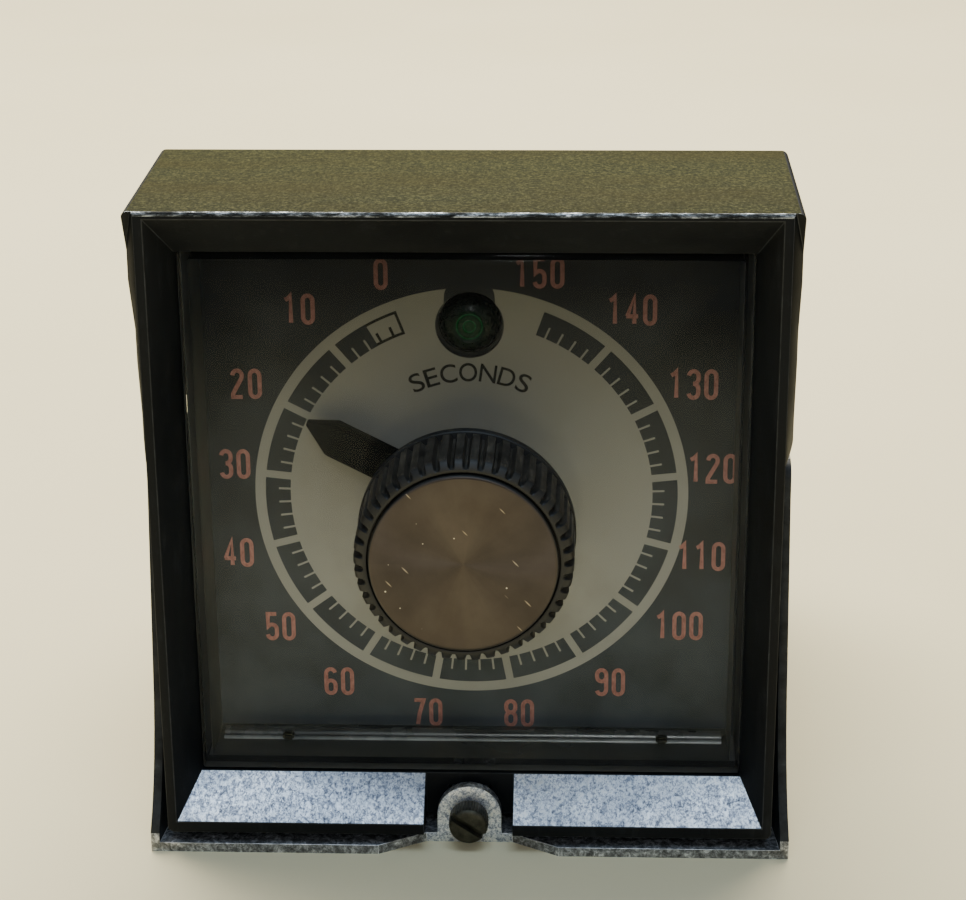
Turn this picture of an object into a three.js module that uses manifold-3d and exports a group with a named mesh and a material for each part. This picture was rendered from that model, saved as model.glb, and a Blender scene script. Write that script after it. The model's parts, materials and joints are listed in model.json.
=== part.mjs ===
// Panel-mount plug-in synchronous timer: a hooded bezel with a fluted setting knob, pulled out of its case.
// Units are millimetres, +Z is up, +X is right and +Y points to the back of the case.
import * as THREE from 'three';
import { mergeVertices } from 'three/addons/utils/BufferGeometryUtils.js';
import { ConvexGeometry } from 'three/addons/geometries/ConvexGeometry.js';
import Module from 'manifold-3d';

const wasm = await Module();
wasm.setup();

// ---- driving dimensions -------------------------------------------------------------------------------
const GAP = 0.3;                 // clearance kept between neighbouring pieces
const THROUGH = 1;               // how far a cutting tool runs past the face that it cuts

const DIAL = { y: 19.8, z: 49.3, thick: 1, halfWidth: 41.5, bottom: 8, top: 92, shaftHole: 3.8 };
const STANDOFF = { r: 2.5, x: 37, low: 14, high: 86 };
const SCALE = { stepDeg: 21.38, marks: 15, restMark: 2 };     // 15 steps of 10 s; the pointer rests on 20 s
const LAMP = { z: 75.7, hole: 4.95 };
// Turned profiles as [radius, y] points.
const LENS = [[0, 18.9], [1.5, 19], [2.8, 19.35], [3.7, 19.9], [4.3, 20.9], [4.3, 25.5], [3.3, 25.5], [3.3, 21.6],
  [0, 20.6]];
const BULB = [[0, 21.2], [1.3, 21.5], [2.2, 22.3], [2.6, 23.4], [2.6, 26.2], [0, 26.2]];
const SOCKET = [[0, 26.5], [4.6, 26.5], [4.6, 21.2], [6.2, 21.2], [6.2, 28], [0, 28]];

const HOOD = {
  halfWidth: 46, top: 97.8, split: 61.8, depth: 34.7,          // upper shell
  lowerHalf: 44.4, bottom: 3.3, lowerDepth: 28, overlap: 3,    // lower shell, inside the frame's apron
  cavityHalf: 42.9, cavityBottom: 5.6, cavityTop: 95.8, cornerR: 1,
};
const FUNNEL = { rimHalf: 43.05, rimBottom: 5, rimTop: 96.75, depth: 6.9 };
const OPENING = { half: 40.1, bottom: 10.05, top: 90.3, back: 9 };
const CHEEKS = [[98.6, -0.1], [87.3, 3.4], [74.3, 6.6], [61, 8]];   // [height, set-back] of the hood's side bevels
const NOTCH = { half: 6.5, channelHalf: 3.2, channelTop: 8 };

const FRAME = { half: 46.1, frontHalf: 47.05, wall: 1.3, floor: 1.5, flareDepth: 9, apronTop: 58.5, y: 28.3, plate: 1.5,
  upperHalf: 42.4, top: 94.6, shaftHole: 4.3 };
// The apron's front edge from the side: the start, corner and end of each curve. Pairs are [y, z] points.
const APRON = { topStart: 12, topCorner: 9.4, topEnd: 9.2, topDrop: 2.6, waist: [6.4, 28], footCorner: [5.2, 12],
  foot: [0, 3] };
const LAMP_WINDOW = { half: 30, bottom: 81, top: 88 };       // opening in the back plate for the lamp's wires
const LUG = { y: 4, thick: 1.6, half: 4.75, z: 4.5, rampHalf: 13.3, flatHalf: 6.4 };
const SCREW = { head: 2.9, headLength: 3.5, headFront: 0.2, shank: 1.5, tip: 35, hole: 1.9,
  slotDeg: 35, slotHalf: 0.45, slotDepth: 1.1 };
const CLIP = { y: 12, thick: 0.6, r: 2.6 };

const TRAY = { half: 39.8, bottom: 10.35, top: 90, wall: 1.2, pane: 1.5, front: 7, back: 19.5, flangeHalf: 42.2,
  flangeY: 9.3, flangeThick: 1.5, flangeMargin: 2.2, holeGap: 0.6 };
const KNOB = { r: 15.45, frontR: 15.2, flange: 15.95, flangeThick: 0.6, front: -5.6, back: 6.6, ribs: 45, ribDepth: 0.45,
  hub: 3.2, hubBack: 13.9, recess: 1.2 };
const DISC = { r: 13.2, front: -6.1, back: -4.7, roll: 0.9 };
const POINTER = { front: 14.3, back: 17.8, reach: 26.7, half: 2.3, hub: 5, shoulder: 22.5 };
const SHAFT = { r: 2, front: -1, back: 63.3, hole: 2.3 };
const BUSHING = { front: 25, back: 33, r: 4, collarR: 6.5, collarFront: 30.1, collarBack: 31.6 };

const CASE = { half: 40, bottom: 9, top: 79, wall: 1.5, flangeFront: 30.4, back: 93.5, rearWall: 2,
  flangeHalf: 42.4, flangeBottom: 2, flangeTop: 94.5, flangeBack: 33.5 };
const VENTS = { count: 5, start: 48, pitch: 6, width: 2, bottom: 30, top: 58 };
const BLADE_OPENING = { half: 31, reach: 6 };                     // in the case's rear wall
const GASKET = { thick: 1.2, inner: 0.5 };
const CLAMP = { half: 9, front: 42, back: 66, plate: 1.5, lug: 2, reach: 8.7, screwR: 1.8, screwOff: 4.7, headR: 2.8,
  headFront: 70, headBack: 73, tip: 37, slotHalf: 0.4, slotDepth: 1 };
const TERMINALS = { count: 6, pitch: 10, y: 93.8, thick: 10.2, rib: 4, half: 34, bottom: 22, top: 60,
  ribHalf: 0.9, screwZ: 31, screwR: 3, screwCrownR: 2.4, screwSide: 2, screwHeight: 2.6, slotHalf: 0.45,
  slotDepth: 0.9 };
const BLADE = { z: 41, thick: 0.8, height: 8, front: 86.3, back: 98 };

const MODULE = 1;                                                // gear tooth module
// Tooth depths are in modules, and the half-widths at root and tip in pitches.
const TOOTH = { dedendum: 1.2, addendum: 0.85, rootShare: 0.27, tipShare: 0.1 };
const GEARS = { setting: 44, idlerPinion: 12, idlerWheel: 30, motor: 12 };       // teeth
const SETTING_GEAR = { front: 35, back: 37, holes: 5, holeR: 4.2, holeReach: 12 };
const CAM = { front: 44, back: 46.5, r: 14, notchR: 12.4, crestEnd: 0.25, notchEnd: 0.15 };   // ends in radians
const IDLER = { x: -18, pinionFront: 34.5, pinionBack: 37.5, arborR: 3, arborFront: 31, arborBack: 53,
  wheelFront: 52, wheelBack: 54, pivotR: 1.5, pivotBack: 61.7, centreR: 0.6, centreDepth: 0.5 };
const PINION = { front: 51, back: 55, shaftR: 1.5, plateHole: 2.2 };
const MOTOR = { r: 20, front: 63.8, back: 80, angleDeg: 10, snoutInset: 5, snoutLength: 4, chamfer: 1 };
const PLATE = { y: 62, thick: 1.5, half: 37, bottom: 12.2, top: 76 };
const POST = { r: 2.5, x: 34.2, low: 15.2, high: 73 };
const BOARD = { y: 84, thick: 2, half: 32, bottom: 16, top: 66, postR: 2, posts: [[-28, 20], [28, 60]] };
const COIL = { x: -18, z: 67, r: 8, front: 42.4, back: 58, cheek: 1.2, windingInset: 1 };
const YOKE = { offset: 2.5, thick: 1.5, front: 40.5, back: 60 };
const ARMATURE = { front: 38.7, back: 40.1, overhang: 1, half: 7 };
const SWITCH = { near: 22, far: 34, bottom: 40, top: 58, front: 42, back: 48.5, plungerTip: 16.6, plungerR: 0.9,
  bore: 1.2, boreDepth: 6, plungerDepth: 4.5 };

const CENTRE_Y = (DISC.front + TERMINALS.y + TERMINALS.thick + TERMINALS.rib) / 2;

// ---- materials ----------------------------------------------------------------------------------------
const finish = (color, roughness, metalness, extra = {}) => () =>
  new THREE.MeshStandardMaterial({ color, roughness, metalness, ...extra });
const blackEnamel = finish(0x1d2023, 0.5, 0.2);
const zinc = finish(0xa6a7a4, 0.42, 0.9);
const steel = finish(0x8d8f90, 0.35, 0.95);
const darkSteel = finish(0x34352f, 0.45, 0.8);
const brass = finish(0xb08d4a, 0.35, 0.9);
const bronze = finish(0x6e5f4b, 0.35, 0.8);
const blackPlastic = finish(0x1b1c1d, 0.5, 0);
const phenolic = finish(0x241e1a, 0.55, 0);
const printed = finish(0x26221f, 0.4, 0);
const clear = finish(0xdfe6e6, 0.08, 0, { transparent: true, opacity: 0.3 });
const greenLens = finish(0x0f4a2a, 0.12, 0, { transparent: true, opacity: 0.85 });
const glass = finish(0xe8e2d0, 0.08, 0, { transparent: true, opacity: 0.5 });
const rubber = finish(0x151515, 0.85, 0);
const copper = finish(0x8a4a2c, 0.45, 0.6);

// ---- solids -------------------------------------------------------------------------------------------
function solidOf(geometry) {
  const bare = geometry.index ? geometry.clone() : geometry;
  bare.deleteAttribute('normal');
  bare.deleteAttribute('uv');
  const merged = mergeVertices(bare, 1e-4);
  const vertProperties = Float32Array.from(merged.attributes.position.array);
  const triVerts = Uint32Array.from(merged.index.array);
  return new wasm.Manifold(new wasm.Mesh({ numProp: 3, vertProperties, triVerts }));
}

function geometryOf(solid) {
  const mesh = solid.getMesh();
  const geometry = new THREE.BufferGeometry();
  geometry.setAttribute('position', new THREE.BufferAttribute(Float32Array.from(mesh.vertProperties), 3));
  geometry.setIndex(new THREE.BufferAttribute(Uint32Array.from(mesh.triVerts), 1));
  return geometry;
}

const joined = (first, ...rest) => rest.reduce((sum, piece) => sum.add(piece), first);
const cut = (first, ...tools) => tools.reduce((sum, tool) => sum.subtract(tool), first);

function box(x0, x1, y0, y1, z0, z1) {
  const geometry = new THREE.BoxGeometry(x1 - x0, y1 - y0, z1 - z0);
  return solidOf(geometry.translate((x0 + x1) / 2, (y0 + y1) / 2, (z0 + z1) / 2));
}

// A round bar along Y, centred on (x, z).
function bar(r, y0, y1, x = 0, z = 0, sides = 32) {
  const geometry = new THREE.CylinderGeometry(r, r, y1 - y0, sides);
  return solidOf(geometry.translate(x, (y0 + y1) / 2, z));
}

// A closed profile of [radius, y] points, turned about the Y axis.
function turned(profile, sides = 32) {
  const points = profile.map(([r, y]) => new THREE.Vector2(r, y));
  points.push(points[0].clone());
  return solidOf(new THREE.LatheGeometry(points, sides));
}

function extruded(shape, depth, curveSegments = 8) {
  return new THREE.ExtrudeGeometry(shape, { depth, bevelEnabled: false, curveSegments });
}

// A front-view outline (x, z), extruded along Y from y0 to y1.
function frontPrism(shape, y0, y1, curveSegments) {
  return solidOf(extruded(shape, y1 - y0, curveSegments).rotateX(Math.PI / 2).translate(0, y1, 0));
}

// A side-view outline (y, z), extruded along X from x0 to x1.
function sidePrism(shape, x0, x1, curveSegments) {
  const turn = new THREE.Matrix4().makeBasis(
    new THREE.Vector3(0, 1, 0), new THREE.Vector3(0, 0, 1), new THREE.Vector3(1, 0, 0));
  return solidOf(extruded(shape, x1 - x0, curveSegments).applyMatrix4(turn).translate(x0, 0, 0));
}

// A plan outline (x, y), extruded along Z from z0 to z1.
function planPrism(shape, z0, z1, curveSegments) {
  return solidOf(extruded(shape, z1 - z0, curveSegments).translate(0, 0, z0));
}

function outline(points) {
  return new THREE.Shape(points.map(([a, b]) => new THREE.Vector2(a, b)));
}

const hullOf = (points) => solidOf(new ConvexGeometry(points.map(([x, y, z]) => new THREE.Vector3(x, y, z))));

// The corners of a rectangle of half-width `half`, at depth y.
const rectangle = (half, bottom, top, y) => [-half, half].flatMap((x) => [[x, y, bottom], [x, y, top]]);

function roundedRect(half, bottom, top, radius) {
  const shape = new THREE.Shape();
  shape.moveTo(-half + radius, bottom);
  shape.lineTo(half - radius, bottom);
  shape.absarc(half - radius, bottom + radius, radius, -Math.PI / 2, 0);
  shape.lineTo(half, top - radius);
  shape.absarc(half - radius, top - radius, radius, 0, Math.PI / 2);
  shape.lineTo(-half + radius, top);
  shape.absarc(-half + radius, top - radius, radius, Math.PI / 2, Math.PI);
  shape.lineTo(-half, bottom + radius);
  shape.absarc(-half + radius, bottom + radius, radius, Math.PI, Math.PI * 1.5);
  return shape;
}

// ---- assembly -----------------------------------------------------------------------------------------
const timer = new THREE.Group();
timer.position.set(0, -CENTRE_Y, 0);

function place(name, solid, material, x = 0, z = 0) {
  const mesh = new THREE.Mesh(geometryOf(solid), material());
  mesh.name = name;
  mesh.position.set(x, 0, z);
  timer.add(mesh);
}

// ---- bezel hood: funnel in front, shell behind --------------------------------------------------------
function cheekBevel(side) {
  const inner = HOOD.lowerHalf;
  const outer = HOOD.halfWidth + THROUGH;
  const slope = (outer - inner) / (HOOD.halfWidth - inner);
  const section = ([z, back]) => [
    [side * inner, 0, z], [side * inner, -THROUGH, z], [side * outer, -THROUGH, z], [side * outer, back * slope, z],
  ];
  const parts = [];
  for (let i = 0; i + 1 < CHEEKS.length; i += 1) {
    parts.push(hullOf([...section(CHEEKS[i]), ...section(CHEEKS[i + 1])]));
  }
  return joined(...parts);
}

function bezelHood() {
  const { halfWidth, top, split, depth, lowerHalf, bottom, lowerDepth, overlap, cornerR } = HOOD;
  const upper = frontPrism(roundedRect(halfWidth, split, top, cornerR), 0, depth, 3);
  const lower = frontPrism(roundedRect(lowerHalf, bottom, split + overlap, cornerR), 0, lowerDepth, 3);
  const run = THROUGH / FUNNEL.depth;
  const grow = (rim, back) => rim + (rim - back) * run;
  const funnel = hullOf([
    ...rectangle(grow(FUNNEL.rimHalf, OPENING.half), grow(FUNNEL.rimBottom, OPENING.bottom),
      grow(FUNNEL.rimTop, OPENING.top), -THROUGH),
    ...rectangle(OPENING.half, OPENING.bottom, OPENING.top, FUNNEL.depth),
  ]);
  const opening = box(-OPENING.half, OPENING.half, FUNNEL.depth - THROUGH, OPENING.back + THROUGH,
    OPENING.bottom, OPENING.top);
  const cavity = box(-HOOD.cavityHalf, HOOD.cavityHalf, OPENING.back, depth + THROUGH,
    HOOD.cavityBottom, HOOD.cavityTop);
  const notch = box(-NOTCH.half, NOTCH.half, -THROUGH, FUNNEL.depth, 0, OPENING.bottom + THROUGH);
  const channel = box(-NOTCH.channelHalf, NOTCH.channelHalf, FUNNEL.depth - THROUGH, depth, 0, NOTCH.channelTop);
  return cut(joined(upper, lower), funnel, opening, cavity, notch, channel, cheekBevel(1), cheekBevel(-1));
}
place('bezel_hood', bezelHood(), blackEnamel);

// ---- front frame: back plate, flared apron round the lower half, and the screw lug ---------------------
function apronSide(side) {
  const { half, frontHalf, wall, flareDepth, y, plate, apronTop } = FRAME;
  const back = y + plate;
  const plan = [[half, back], [half, flareDepth], [frontHalf, 0], [frontHalf - wall, 0],
    [half - wall, flareDepth], [half - wall, back]].map(([x, depth]) => [side * x, depth]);
  if (side > 0) plan.reverse();
  const edge = new THREE.Shape();
  edge.moveTo(back, 0);
  edge.lineTo(back, apronTop);
  edge.lineTo(APRON.topStart, apronTop);
  edge.quadraticCurveTo(APRON.topCorner, apronTop, APRON.topEnd, apronTop - APRON.topDrop);
  edge.lineTo(...APRON.waist);
  edge.quadraticCurveTo(...APRON.footCorner, ...APRON.foot);
  edge.lineTo(0, 0);
  const reach = frontHalf + THROUGH;
  return planPrism(outline(plan), 0, apronTop).intersect(sidePrism(edge, -reach, reach, 6));
}

function frontFrame() {
  const { half, frontHalf, floor, flareDepth, y, plate, apronTop, upperHalf, top } = FRAME;
  const back = y + plate;
  const floorPlan = outline([
    [-frontHalf, 0], [-LUG.rampHalf, 0], [-LUG.flatHalf, LUG.y], [LUG.flatHalf, LUG.y], [LUG.rampHalf, 0],
    [frontHalf, 0], [half, flareDepth], [half, back], [-half, back], [-half, flareDepth],
  ]);
  const lug = new THREE.Shape();
  lug.moveTo(-LUG.half, 0);
  lug.lineTo(LUG.half, 0);
  lug.lineTo(LUG.half, LUG.z);
  lug.absarc(0, LUG.z, LUG.half, 0, Math.PI);
  lug.lineTo(-LUG.half, 0);
  return cut(
    joined(
      planPrism(floorPlan, 0, floor),
      apronSide(-1), apronSide(1),
      box(-half, half, y, back, 0, apronTop),
      box(-upperHalf, upperHalf, y, back, apronTop - 2, top),
      frontPrism(lug, LUG.y, LUG.y + LUG.thick, 16),
    ),
    bar(SCREW.hole, LUG.y - THROUGH, back + THROUGH, 0, LUG.z, 20),
    bar(FRAME.shaftHole, y - THROUGH, back + THROUGH, 0, DIAL.z),
    box(-LAMP_WINDOW.half, LAMP_WINDOW.half, y - THROUGH, back + THROUGH, LAMP_WINDOW.bottom, LAMP_WINDOW.top),
  );
}
place('front_frame', frontFrame(), zinc);

// ---- window: a clear tray whose walls stand on the dial -----------------------------------------------
function windowTray() {
  const { half, bottom, top, wall, pane, front, back, holeGap } = TRAY;
  const { flangeHalf, flangeY, flangeThick, flangeMargin } = TRAY;
  return cut(
    joined(
      box(-half, half, front, back, bottom, top),
      box(-flangeHalf, flangeHalf, flangeY, flangeY + flangeThick, bottom - flangeMargin, top + flangeMargin),
    ),
    box(-half + wall, half - wall, front + pane, back + THROUGH, bottom + wall, top - wall),
    bar(KNOB.hub + holeGap, front - THROUGH, front + pane + THROUGH, 0, DIAL.z),
  );
}
place('window', windowTray(), clear);

// ---- dial plate, stand-offs and lamp ------------------------------------------------------------------
const dialBack = DIAL.y + DIAL.thick;
place('dial_plate', cut(
  box(-DIAL.halfWidth, DIAL.halfWidth, DIAL.y, dialBack, DIAL.bottom, DIAL.top),
  bar(LAMP.hole, DIAL.y - THROUGH, dialBack + THROUGH, 0, LAMP.z, 48),
  bar(DIAL.shaftHole, DIAL.y - THROUGH, dialBack + THROUGH, 0, DIAL.z),
), printed);

const corners = ({ x, low, high }) => [[-x, low], [x, low], [-x, high], [x, high]];
for (const [i, [x, z]] of corners(STANDOFF).entries()) {
  place(`dial_standoff_${i + 1}`, bar(STANDOFF.r, dialBack + GAP, FRAME.y - GAP, 0, 0, 16), brass, x, z);
}

place('lamp_lens', turned(LENS, 32), greenLens, 0, LAMP.z);
place('lamp_bulb', turned(BULB, 20), glass, 0, LAMP.z);
place('lamp_socket', turned(SOCKET, 28), blackPlastic, 0, LAMP.z);

// ---- knob, disc, pointer and shaft ----------------------------------------------------------------------
// A ribbed outline: each rib is a narrow flat crest between two wide valleys.
function ribbedOutline(radius, depth, count, crest = 0.42, flank = 0.12) {
  const pitch = (2 * Math.PI) / count;
  const stations = [[-crest / 2, radius], [crest / 2, radius], [crest / 2 + flank, radius - depth],
    [1 - crest / 2 - flank, radius - depth]];
  const points = [];
  for (let i = 0; i < count; i += 1) {
    for (const [t, r] of stations) points.push([r * Math.cos((i + t) * pitch), r * Math.sin((i + t) * pitch)]);
  }
  return outline(points);
}

function settingKnob() {
  const { r, frontR, flange, flangeThick, front, back, ribs, ribDepth, hub, hubBack, recess } = KNOB;
  const grip = frontPrism(ribbedOutline(r, ribDepth, ribs), front, back - flangeThick);
  const draft = turned([[0, front], [frontR - 0.8, front], [frontR - 0.2, front + 0.5], [r + 0.1, back], [0, back]], 90);
  return cut(
    joined(grip.intersect(draft), bar(flange, back - flangeThick, back, 0, 0, 64), bar(hub, back - GAP, hubBack)),
    bar(DISC.r + GAP, front - THROUGH, front + recess, 0, 0, 64),
    bar(SHAFT.hole, SHAFT.front - GAP, hubBack + THROUGH, 0, 0, 24),
  );
}
place('setting_knob', settingKnob(), blackPlastic, 0, DIAL.z);

place('knob_disc', turned([
  [0, DISC.front + 0.12], [2, DISC.front + 0.02], [DISC.r - DISC.roll, DISC.front],
  [DISC.r - DISC.roll / 3, DISC.front + 0.15], [DISC.r, DISC.front + 0.5], [DISC.r, DISC.back], [0, DISC.back],
], 64), bronze, 0, DIAL.z);

// The pointer is drawn pointing along +X, then turned to the mark that it rests on.
function pointer() {
  const { front, back, reach, half, hub, shoulder } = POINTER;
  const blade = outline([[0, -half], [shoulder, -half], [reach, -0.25], [reach, 0.25], [shoulder, half], [0, half]]);
  const tipCut = solidOf(new THREE.ExtrudeGeometry(
    outline([[shoulder - 0.5, front - THROUGH], [reach + THROUGH, front - THROUGH], [reach + THROUGH, back - 1],
      [shoulder - 0.5, front]]),
    { depth: 4 * half, bevelEnabled: false }).translate(0, 0, -2 * half));
  const angle = THREE.MathUtils.degToRad((SCALE.restMark - SCALE.marks / 2) * SCALE.stepDeg - 90);
  return cut(
    joined(frontPrism(blade, front, back), bar(hub, front, back)),
    tipCut,
    bar(SHAFT.hole, front - THROUGH, back + THROUGH, 0, 0, 24),
  ).rotate([0, -THREE.MathUtils.radToDeg(angle), 0]);
}
place('pointer', pointer(), blackPlastic, 0, DIAL.z);

place('dial_shaft', bar(SHAFT.r, SHAFT.front, SHAFT.back, 0, 0, 24), steel, 0, DIAL.z);
place('shaft_bushing', turned([
  [SHAFT.hole, BUSHING.front], [BUSHING.r, BUSHING.front], [BUSHING.r, BUSHING.collarFront],
  [BUSHING.collarR, BUSHING.collarFront], [BUSHING.collarR, BUSHING.collarBack], [BUSHING.r, BUSHING.collarBack],
  [BUSHING.r, BUSHING.back], [SHAFT.hole, BUSHING.back],
], 24), brass, 0, DIAL.z);

// ---- gear train -----------------------------------------------------------------------------------------
const pitchRadius = (teeth) => (teeth * MODULE) / 2;

// Meshed teeth keep a clearance on both flanks. Tooth 0 points along +X, turned by phase.
function gear(teeth, y0, y1, phase = 0) {
  const step = (2 * Math.PI) / teeth;
  const root = pitchRadius(teeth) - TOOTH.dedendum * MODULE;
  const crown = pitchRadius(teeth) + TOOTH.addendum * MODULE;
  const { rootShare, tipShare } = TOOTH;
  const flanks = [[-rootShare, root], [-tipShare, crown], [tipShare, crown], [rootShare, root]];
  const points = [];
  for (let i = 0; i < teeth; i += 1) {
    for (const [t, r] of flanks) {
      const a = phase + (i + t) * step;
      points.push([r * Math.cos(a), r * Math.sin(a)]);
    }
  }
  return frontPrism(outline(points), y0, y1);
}

const settingRadius = pitchRadius(GEARS.setting) + pitchRadius(GEARS.idlerPinion);
IDLER.z = DIAL.z - Math.sqrt(settingRadius ** 2 - IDLER.x ** 2);
const wheelDistance = pitchRadius(GEARS.idlerWheel) + pitchRadius(GEARS.motor);
const motorAngle = THREE.MathUtils.degToRad(MOTOR.angleDeg);
MOTOR.x = IDLER.x + wheelDistance * Math.cos(motorAngle);
MOTOR.z = IDLER.z + wheelDistance * Math.sin(motorAngle);

// Tooth phases: a tooth of the driver meets a gap of the driven gear on the line between their centres.
const toIdler = Math.atan2(IDLER.z - DIAL.z, IDLER.x);
const gapPhase = (lineAngle, teeth) => lineAngle + Math.PI + Math.PI / teeth;

function settingGear() {
  const { front, back, holes, holeR, holeReach } = SETTING_GEAR;
  const lightening = [];
  for (let i = 0; i < holes; i += 1) {
    const a = (i * 2 * Math.PI) / holes;
    const [x, z] = [holeReach * Math.cos(a), holeReach * Math.sin(a)];
    lightening.push(bar(holeR, front - THROUGH, back + THROUGH, x, z, 20));
  }
  const shaftHole = bar(SHAFT.hole, front - THROUGH, back + THROUGH, 0, 0, 24);
  return cut(gear(GEARS.setting, front, back, toIdler), shaftHole, ...lightening);
}
place('setting_gear', settingGear(), brass, 0, DIAL.z);

function switchCam() {
  const shape = new THREE.Shape();
  shape.absarc(0, 0, CAM.r, CAM.crestEnd, Math.PI * 2 - CAM.crestEnd);
  shape.absarc(0, 0, CAM.notchR, -CAM.notchEnd, CAM.notchEnd);
  return cut(
    frontPrism(shape, CAM.front, CAM.back, 12),
    bar(SHAFT.hole, CAM.front - THROUGH, CAM.back + THROUGH, 0, 0, 24),
  );
}
place('switch_cam', switchCam(), phenolic, 0, DIAL.z);

function idlerGear() {
  const { pinionFront, pinionBack, arborR, arborFront, arborBack, wheelFront, wheelBack, pivotR, pivotBack } = IDLER;
  return cut(
    joined(
      gear(GEARS.idlerPinion, pinionFront, pinionBack, gapPhase(toIdler, GEARS.idlerPinion)),
      bar(arborR, arborFront, arborBack, 0, 0, 20),
      gear(GEARS.idlerWheel, wheelFront, wheelBack, motorAngle),
      bar(pivotR, arborBack, pivotBack, 0, 0, 16),
    ),
    bar(IDLER.centreR, arborFront - THROUGH, arborFront + IDLER.centreDepth, 0, 0, 12),
  );
}
place('idler_gear', idlerGear(), brass, IDLER.x, IDLER.z);

place('motor_pinion', joined(
  gear(GEARS.motor, PINION.front, PINION.back, gapPhase(motorAngle, GEARS.motor)),
  bar(PINION.shaftR, PINION.back - THROUGH, MOTOR.front - GAP, 0, 0, 16),
), steel, MOTOR.x, MOTOR.z);

// ---- movement frame, motor, clutch coil and switches ------------------------------------------------------
const plateBack = PLATE.y + PLATE.thick;
place('movement_plate', cut(
  box(-PLATE.half, PLATE.half, PLATE.y, plateBack, PLATE.bottom, PLATE.top),
  bar(SHAFT.hole, PLATE.y - THROUGH, plateBack + THROUGH, 0, DIAL.z, 24),
  bar(PINION.plateHole, PLATE.y - THROUGH, plateBack + THROUGH, MOTOR.x, MOTOR.z, 20),
), zinc);

for (const [i, [x, z]] of corners(POST).entries()) {
  const front = FRAME.y + FRAME.plate + GAP;
  place(`movement_post_${i + 1}`, bar(POST.r, front, PLATE.y - GAP, 0, 0, 16), steel, x, z);
}

function motor() {
  const { r, front, back, snoutInset, snoutLength, chamfer } = MOTOR;
  const shoulder = front + snoutLength;
  return turned([
    [0, front], [r - snoutInset, front], [r - snoutInset, shoulder], [r - chamfer, shoulder], [r, shoulder + chamfer],
    [r, back - chamfer], [r - chamfer, back], [0, back],
  ], 40);
}
place('motor', motor(), steel, MOTOR.x, MOTOR.z);

function clutchCoil() {
  const { r, front, back, cheek, windingInset } = COIL;
  return turned([
    [0, front], [r, front], [r, front + cheek], [r - windingInset, front + cheek],
    [r - windingInset, back - cheek], [r, back - cheek], [r, back], [0, back],
  ], 28);
}
place('clutch_coil', clutchCoil(), copper, COIL.x, COIL.z);

const yokeLeft = COIL.x - COIL.r - YOKE.offset;
place('coil_yoke', joined(
  box(yokeLeft, COIL.x + COIL.r, COIL.back + GAP, YOKE.back, COIL.z - COIL.r, COIL.z + COIL.r),
  box(yokeLeft, yokeLeft + YOKE.thick, YOKE.front, YOKE.back, COIL.z - COIL.r, COIL.z + COIL.r),
), steel);

place('armature', box(yokeLeft, COIL.x + COIL.r + ARMATURE.overhang, ARMATURE.front, ARMATURE.back,
  COIL.z - ARMATURE.half, COIL.z + ARMATURE.half), steel);

// A range of X that starts at `near` and ends at `far`, on the given side of the middle.
const sideRange = (side, near, far) => [side * near, side * far].sort((a, b) => a - b);
for (const [side, label] of [[-1, 'left'], [1, 'right']]) {
  const { near, far, bottom, top, front, back, plungerTip, plungerR, bore, boreDepth, plungerDepth } = SWITCH;
  const middle = (front + back) / 2;
  place(`limit_switch_${label}`, cut(
    box(...sideRange(side, near, far), front, back, bottom, top),
    box(...sideRange(side, near - THROUGH, near + boreDepth), middle - bore, middle + bore,
      DIAL.z - bore, DIAL.z + bore),
  ), phenolic);
  place(`switch_plunger_${label}`, box(...sideRange(side, plungerTip, near + plungerDepth),
    middle - plungerR, middle + plungerR, DIAL.z - plungerR, DIAL.z + plungerR), brass);
}

// ---- plug board and blades ----------------------------------------------------------------------------
place('plug_board', box(-BOARD.half, BOARD.half, BOARD.y, BOARD.y + BOARD.thick, BOARD.bottom, BOARD.top),
  phenolic);
for (const [i, [x, z]] of BOARD.posts.entries()) {
  place(`board_post_${i + 1}`, bar(BOARD.postR, plateBack + GAP, BOARD.y - GAP, 0, 0, 16), steel, x, z);
}

const terminalX = (i) => (i - (TERMINALS.count - 1) / 2) * TERMINALS.pitch;
for (let i = 0; i < TERMINALS.count; i += 1) {
  const x = terminalX(i);
  place(`plug_blade_${i + 1}`, box(x - BLADE.thick / 2, x + BLADE.thick / 2, BLADE.front, BLADE.back,
    BLADE.z - BLADE.height / 2, BLADE.z + BLADE.height / 2), brass);
}

// ---- captive screw and its retaining clip ---------------------------------------------------------------
function captiveScrew() {
  const { head, headLength, headFront, shank, tip, slotDeg, slotHalf, slotDepth } = SCREW;
  const headBack = headFront + headLength;
  const slot = box(-head - THROUGH, head + THROUGH, headFront - THROUGH, headFront + slotDepth, -slotHalf, slotHalf);
  return cut(joined(
    turned([[0, headFront], [head - 0.4, headFront], [head, headFront + 0.4], [head, headBack], [0, headBack]], 28),
    bar(shank, headBack - GAP, tip, 0, 0, 20),
  ), slot.rotate([0, slotDeg, 0]));
}
place('captive_screw', captiveScrew(), darkSteel, 0, LUG.z);

const clipBore = SCREW.shank + GAP;
const clipBack = CLIP.y + CLIP.thick;
place('screw_clip', turned([[clipBore, CLIP.y], [CLIP.r, CLIP.y], [CLIP.r, clipBack], [clipBore, clipBack]], 24),
  steel, 0, LUG.z);

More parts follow.
